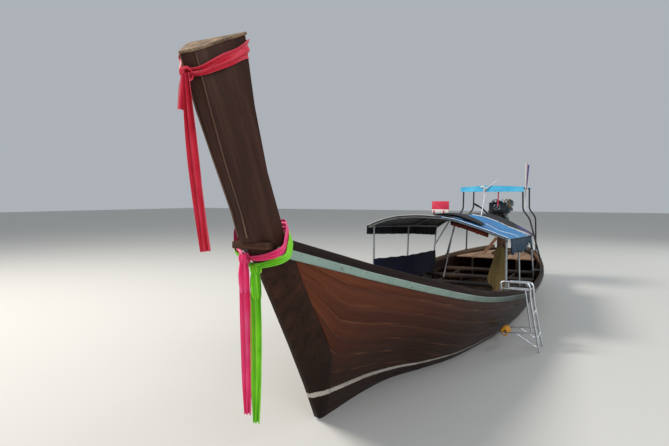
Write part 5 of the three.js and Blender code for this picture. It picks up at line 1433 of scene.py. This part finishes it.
PINK_HALF = [
    (4.262, 0.020, 1.288), (4.217, 0.106, 1.304), (4.168, 0.180, 1.366), (4.153, 0.182, 1.432),
    (4.128, 0.150, 1.484),
]
GREEN_HALF = [
    (4.226, 0.018, 1.240), (4.192, 0.096, 1.258), (4.152, 0.190, 1.312), (4.138, 0.194, 1.372),
    (4.112, 0.166, 1.424),
]
band_wide = [0.026, 0.030, 0.044, 0.072, 0.082, 0.074, 0.066, 0.074, 0.082, 0.072, 0.044, 0.030, 0.026]
tail_wide = [0.036, 0.064, 0.068, 0.066, 0.062, 0.054, 0.040]
end_wide = [0.036, 0.054, 0.064, 0.068, 0.066, 0.062, 0.05]
for colour, finish, half, centre, foot, short in (
    ("pink", pink_chiffon, PINK_HALF, (4.286, -0.036, 1.284), (4.290, -0.014, 0.345), (4.300, -0.020, 1.085)),
    ("green", green_chiffon, GREEN_HALF, (4.258, 0.026, 1.222), (4.262, 0.030, 0.290), (4.262, 0.040, 1.05)),
):
    grids = [
        ribbon(*looped(half), band_wide, 0.095, 3, phase=0.4, rows=90),
        knot(centre, (0.034, 0.036, 0.048), 0.12, (0.1, -0.3, 1), phase=0.8),
        ribbon(*hanging(centre, foot, (0.008, 0.010)), tail_wide, 0.135, 2, 0.6),
        ribbon(*hanging(centre, short, (0.014, 0.006)), end_wide, 0.12, 2, 2.0, rows=26),
    ]
    sheet(f"{colour}_ribbon", grids, "boat", finish, [f"ribbon_{colour}"],
          thick=0.0012)

# %% [markdown]
# The prow's front corners carry thin battens, pale where their edges have worn.

# %% Prow battens
batten_wood = timber(
    "worn_prow_batten", "#5a4034", "#8f7460", "#cdb9a0", along="z", lean=-0.43, wear=0.5, rough=0.7
)
battens = []
for side in (1, -1):
    line = [(x + 0.002, side * (y + 0.002), z - 0.004) for x, z, y in PROW[:, :3] if z > 1.40]
    battens.append(([(4.350, side * 0.032, 1.416), *line], 0.004, 0.02))
piped("prow_battens", battens, "boat", batten_wood, sides=8)

# %% [markdown]
# The engine stands in the frame of its shaft: u forward along the shaft, v to port and w up. Its
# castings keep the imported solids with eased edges; what is bolted, clamped and plumbed to them
# gives the engine its look, so that is added: head bolts, fuel pipes, belt, fan, hoses and leads.

# %% Engine frame of reference
PIVOT_X, PIVOT_Z, SHAFT_SLOPE, SHAFT_W = -3.850, 1.120, math.radians(22), 0.100
TAIL_START, TAIL_END = -0.060, -3.600


def on_engine(u, v, w):
    c, s = math.cos(SHAFT_SLOPE), math.sin(SHAFT_SLOPE)
    return (PIVOT_X + u * c - w * s, v, PIVOT_Z + u * s + w * c)


def engine_piped(name, finish, runs, nodes=(), sides=12, bend=0.06):
    """Pipes through points u, v, w."""
    placed = [([on_engine(*p) for p in points], *rest) for points, *rest in runs]
    piped(name, placed, "engine", finish, nodes, sides, bend)


def round_about(u, v, w, radius, angles):
    return [(u, v + radius * math.cos(a), w + radius * math.sin(a)) for a in angles]


def lengthways(u_from, u_to, v, w, radius):
    return ([(u_from, v, w), (u_to, v, w)], radius)


for node, finish, width in (
    ("engine_yoke", black_pipe, 0.003), ("engine_cradle", black_pipe, 0.003),
    ("engine_block", engine_blue, 0.004), ("cylinder_head", cast_alloy, 0.004),
    ("radiator", black_pipe, 0.003),
):
    eased(node, finish, width, angle=25)
engine_piped("intake_pipes", cast_alloy, [
    ([(0.200, 0.110, 0.232), (0.200, 0.165, 0.236), (0.240, 0.190, 0.250)], 0.018),
    ([(0.440, 0.110, 0.232), (0.440, 0.165, 0.236), (0.400, 0.190, 0.250)], 0.018),
    lengthways(0.190, 0.460, 0.190, 0.250, 0.026),
    ([(0.370, 0.190, 0.256), (0.370, 0.190, 0.320)], 0.022),
    lengthways(0.165, 0.505, 0.080, 0.232, 0.018),
], ["intake"], sides=16)
FILTER_LENGTHS = ((0.324, 0.416, 0.052), (0.322, 0.332, 0.056), (0.408, 0.418, 0.056), (0.416, 0.430, 0.012))
filter_runs = [lengthways(a, b, 0.190, 0.316, radius) for a, b, radius in FILTER_LENGTHS]
engine_piped("air_filter", galvanised, filter_runs, sides=24)
engine_piped("exhaust_run", rusty_steel, [
    ([(0.430, -0.090, 0.235), (0.430, -0.140, 0.240), (0.400, -0.165, 0.244), (0.200, -0.175, 0.260),
      (0.080, -0.190, 0.330), (0.060, -0.195, 0.470)], 0.022),
    ([(0.220, -0.090, 0.235), (0.220, -0.172, 0.255)], 0.018),
    lengthways(0.175, 0.500, -0.088, 0.235, 0.017),
    lengthways(0.200, 0.364, -0.172, 0.262, 0.045),
    lengthways(0.206, 0.214, -0.172, 0.262, 0.0475),
    lengthways(0.350, 0.358, -0.172, 0.262, 0.0475),
], ["exhaust_pipe"], sides=20, bend=0.05)
engine_piped("tiller_bar", black_pipe, [
    ([(0.560, -0.152, 0.0), (0.640, -0.170, -0.006), (0.760, -0.240, 0.050), (0.900, -0.370, 0.090)], 0.015),
    lengthways(0.525, 0.575, -0.145, 0.001, 0.019),
], ["tiller"], sides=16, bend=0.08)
grip_rings = [([(0.830 + 0.0093 * k, -0.305 - 0.00865 * k, 0.070 + 0.0027 * k),
                (0.8335 + 0.0093 * k, -0.3083 - 0.00865 * k, 0.071 + 0.0027 * k)], 0.0195) for k in range(8)]
grip_rings.append(([(0.830, -0.305, 0.070), (0.903, -0.3727, 0.0909)], 0.0178))
engine_piped("tiller_grip", rubber, grip_rings, sides=16)

# %% Tail and screw
TAIL_LENGTHS = [
    (TAIL_START + 0.020, TAIL_END, 0.026), (TAIL_START, TAIL_START + 0.040, 0.062),
    (TAIL_START + 0.028, TAIL_START + 0.0896, 0.080), (TAIL_END - 0.0215, TAIL_END + 0.089, 0.034),
]
TAIL_LENGTHS += [(u, u + 0.05, 0.0285) for u in (-0.60, -1.40, -2.20, -3.00)]
tail_runs = [lengthways(a, b, 0, SHAFT_W, radius) for a, b, radius in TAIL_LENGTHS]
engine_piped("tail_tube_run", galvanised, tail_runs, ["tail_tube"], sides=24)
skeg = bevelled_box("tail_skeg", (0.240, 0.010, 0.180), (0, 0, 0), 0.003)
turn = Matrix.Translation(on_engine(-3.440, 0, SHAFT_W - 0.100)) @ Matrix.Rotation(-SHAFT_SLOPE, 4, "Y")
skeg.data.transform(turn)
finish_piece(skeg, "engine", galvanised)
bolt_angles = np.linspace(0, 2 * math.pi, 9)[:8]
aft = -Vector(on_engine(1, 0, 0)) + Vector(on_engine(0, 0, 0))
flange_bolts = [(on_engine(*p), aft) for p in round_about(TAIL_START - 0.001, 0, SHAFT_W, 0.05, bolt_angles)]
heads("flange_bolts", flange_bolts, 0.008, "engine", cast_alloy)
eased("propeller", bronze, 0.0015, angle=40)

# %% Engine fittings
CYLINDER_US = (0.18, 0.27, 0.38, 0.47)
lead_finish = metal("tan_sheathed_leads", "#b08a5a", "#5c4630", rough=0.6, metallic=0.0)
up = Vector(on_engine(0, 0, 1)) - Vector(on_engine(0, 0, 0))
bolts = [(on_engine(u, v, 0.268), up) for u in np.linspace(0.140, 0.530, 6) for v in (-0.066, 0.066)]
bolts += [(on_engine(u, v, 0.210), up) for u in np.linspace(0.13, 0.54, 5) for v in (-0.082, 0.082)]
bolts += [
    (on_engine(u, side * 0.0885, w), (0, side, 0))
    for u in np.linspace(0.14, 0.53, 5) for w in (0.06, 0.19) for side in (-1, 1)
]
heads("engine_bolts", bolts, 0.008, "engine", galvanised)
PUMP_END = [(0.34, 0.135, 0.30), (0.33, 0.135, 0.17)]
lines = [
    ([(u, 0.03, 0.298), (u, 0.03, 0.33), (u + 0.03, 0.06, 0.345), *PUMP_END], 0.004) for u in CYLINDER_US
]
lines += [([(u, 0.03, 0.298), (u, 0.03, 0.326)], 0.009) for u in CYLINDER_US]
lines += [lengthways(0.28, 0.42, 0.118, 0.13, 0.03), lengthways(0.28, 0.42, 0.118, 0.17, 0.012)]
engine_piped("fuel_pump_and_lines", cast_alloy, lines, sides=10, bend=0.02)
engine_piped("hoses_and_leads", rubber, [
    ([(0.53, -0.02, 0.285), (0.58, -0.02, 0.292), (0.60, 0.02, 0.262), (0.622, 0.03, 0.204)], 0.018),
    ([(0.54, -0.075, 0.06), (0.575, -0.11, 0.05), (0.61, -0.11, 0.06)], 0.017),
    ([(0.15, -0.06, 0.15), (0.10, -0.13, 0.10), (0.16, -0.15, 0.04), (0.52, -0.155, 0.03),
      (0.66, -0.19, 0.02), (0.83, -0.31, 0.088)], 0.005),
    ([(0.46, 0.166, 0.188), (0.40, 0.13, 0.215), (0.30, 0.10, 0.262), (0.22, 0.05, 0.31)], 0.005),
], sides=10, bend=0.03)
belt_path = round_about(0.571, 0, 0.078, 0.062, np.linspace(math.pi * 0.62, math.pi * 1.75, 12))
belt_path += round_about(0.571 - 0.022, 0.166, 0.130, 0.038, np.linspace(-math.pi * 0.4, math.pi * 0.62, 8))
engine_piped("fan_belt", rubber, [(belt_path + belt_path[:1], 0.0045, 0.001)], sides=6)
fin_vs = [-0.143 + 0.011 * k for k in range(27)]
fins = [([(0.6535, v, 0.056), (0.6535, v, 0.188)], 0.0022) for v in fin_vs]
fins += [([(0.654, -0.145, w), (0.654, 0.145, w)], 0.0018) for w in np.linspace(0.07, 0.178, 9)]
engine_piped("radiator_fins", cast_alloy, fins, sides=4)
fan_ring = round_about(0.665, 0, 0.122, 0.058, np.linspace(0, 2 * math.pi, 33))
fan_tips = round_about(0.665, 0, 0.122, 0.054, np.linspace(0.3, 5.1, 5))
bright = [(fan_ring, 0.006, 0.0005)] + [([(0.665, 0, 0.122), tip], 0.003) for tip in fan_tips]
bright.append(lengthways(0.655, 0.676, 0, 0.122, 0.018))
bright += [lengthways(0.16, 0.50, v, 0.296, 0.009) for v in (-0.03, 0.05)]
alternator_pipe = [(0.545, -0.10, 0.20), (0.60, -0.13, 0.23), (0.62, -0.10, 0.27), (0.58, -0.02, 0.31)]
bright.append((alternator_pipe, 0.010, 0.03))
engine_piped("engine_bright_work", stainless, bright)
engine_piped("engine_leads", lead_finish, [
    ([(0.60, 0.14, 0.20), (0.66, 0.18, 0.24), (0.62, 0.20, 0.30), (0.50, 0.22, 0.33)], 0.009, 0.03),
    ([(0.58, 0.10, 0.23), (0.64, 0.13, 0.26), (0.60, 0.16, 0.32), (0.52, 0.14, 0.30)], 0.007, 0.03),
    ([(0.56, 0.20, 0.16), (0.62, 0.22, 0.19), (0.60, 0.20, 0.26)], 0.012, 0.03),
], sides=8)
print("engine fittings", len(bolts), "bolts", len(fins), "fins")

# %% [markdown]
# The helm's back board is a broad plank cut to a bulging outline. A tan plank braces the engine's
# stand, and a white rope runs taut from the small canopy down to the main roof.

# %% Back board, stand brace and guy rope
BOARD_OUTLINE = [  # y, z round the board, from its foot on the port side
    (0.770, 0.402), (0.782, 0.560), (0.776, 0.800), (0.782, 0.980), (0.774, 1.040), (0.745, 1.056),
    (0.690, 1.052), (0.655, 1.030), (0.642, 0.960), (0.632, 0.900), (0.598, 0.780), (0.572, 0.690),
    (0.566, 0.650), (0.580, 0.610), (0.612, 0.580), (0.638, 0.556), (0.644, 0.500), (0.642, 0.402),
]
BOARD_THICK, BOARD_EASE = 0.015, 0.003
olive_board = timber("olive_back_board", "#5d4c2e", "#8d7a4c", "#b0a070", along="z", wear=0.25, rough=0.6)
middle = np.mean(BOARD_OUTLINE, axis=0)
rings = []
for out, inset in ((-0.5, BOARD_EASE), (-0.3, 0), (0.3, 0), (0.5, BOARD_EASE)):
    ring = []
    for y, z in BOARD_OUTLINE:
        toward = np.array([y, z]) - middle
        y2, z2 = np.array([y, z]) - toward / np.linalg.norm(toward) * inset
        ring.append((0.2825 - 0.087 * (z - 0.400) + out * BOARD_THICK, y2, z2))
    rings.append(ring)
lofted("back_board_shaped", [{"rings": rings}], "boat", olive_board, ["back_board"])
tan_plank = timber("tan_brace_plank", "#7e5c46", "#b89276", "#d6b494", along="z", wear=0.3, rough=0.7)
BRACE_FOOT, BRACE_HEAD = Vector((-3.560, -0.300, 0.556)), Vector((-3.790, -0.100, 0.860))
way = (BRACE_HEAD - BRACE_FOOT).normalized()
broad = way.cross(Vector((1, 0.4, 0))).normalized()
deep = way.cross(broad)
BRACE_SECTION = [(-0.028, -0.010), (0.028, -0.010), (0.028, 0.010), (-0.028, 0.010)]
rings = [[tuple(at + broad * b + deep * d) for b, d in BRACE_SECTION] for at in (BRACE_FOOT, BRACE_HEAD)]
lofted("engine_stand_brace", [{"rings": rings}], "boat", tan_plank, smooth=0)
ROPE = np.array([-2.738, -0.112, 1.812])
ROPE_KNOT = [  # places round the rope's upper end, radius, bend
    ([(0, -0.080, 0.030), (0, -0.030, 0.045), (0, 0.010, 0.010), (0, 0.060, 0.030)], 0.012, 0.03),
    ([(0, 0.010, 0), (0, -0.030, -0.030), (0, -0.020, -0.085)], 0.009, 0.02),
    ([(0, 0.020, -0.010), (0, 0.110, 0.070)], 0.010, 0.06),
    ([(0, 0.110, 0.070), (-0.022, 0.190, 0.140), (-0.042, 0.270, 0.168)], 0.005, 0.03),
]
rope_line = [ROPE, ROPE + (0.010, -0.002, -0.050), (-2.300, -0.026, 1.668), (-0.900, 0.232, 1.400)]
rope_runs = [(rope_line, 0.0075, 0.05), lashing(ROPE, (0.3, 0.2, 1), 0.016, turns=5, cord=0.006)]
rope_runs += [([ROPE + p for p in places], radius, bend) for places, radius, bend in ROPE_KNOT]
piped("guy_rope", rope_runs, "boat", white_cord, sides=8)
piped("canopy_rod", [([(-2.850, 0.105, 1.820), (-2.850, 0.098, 1.500)], 0.011)], "boat", sign_red, sides=8)
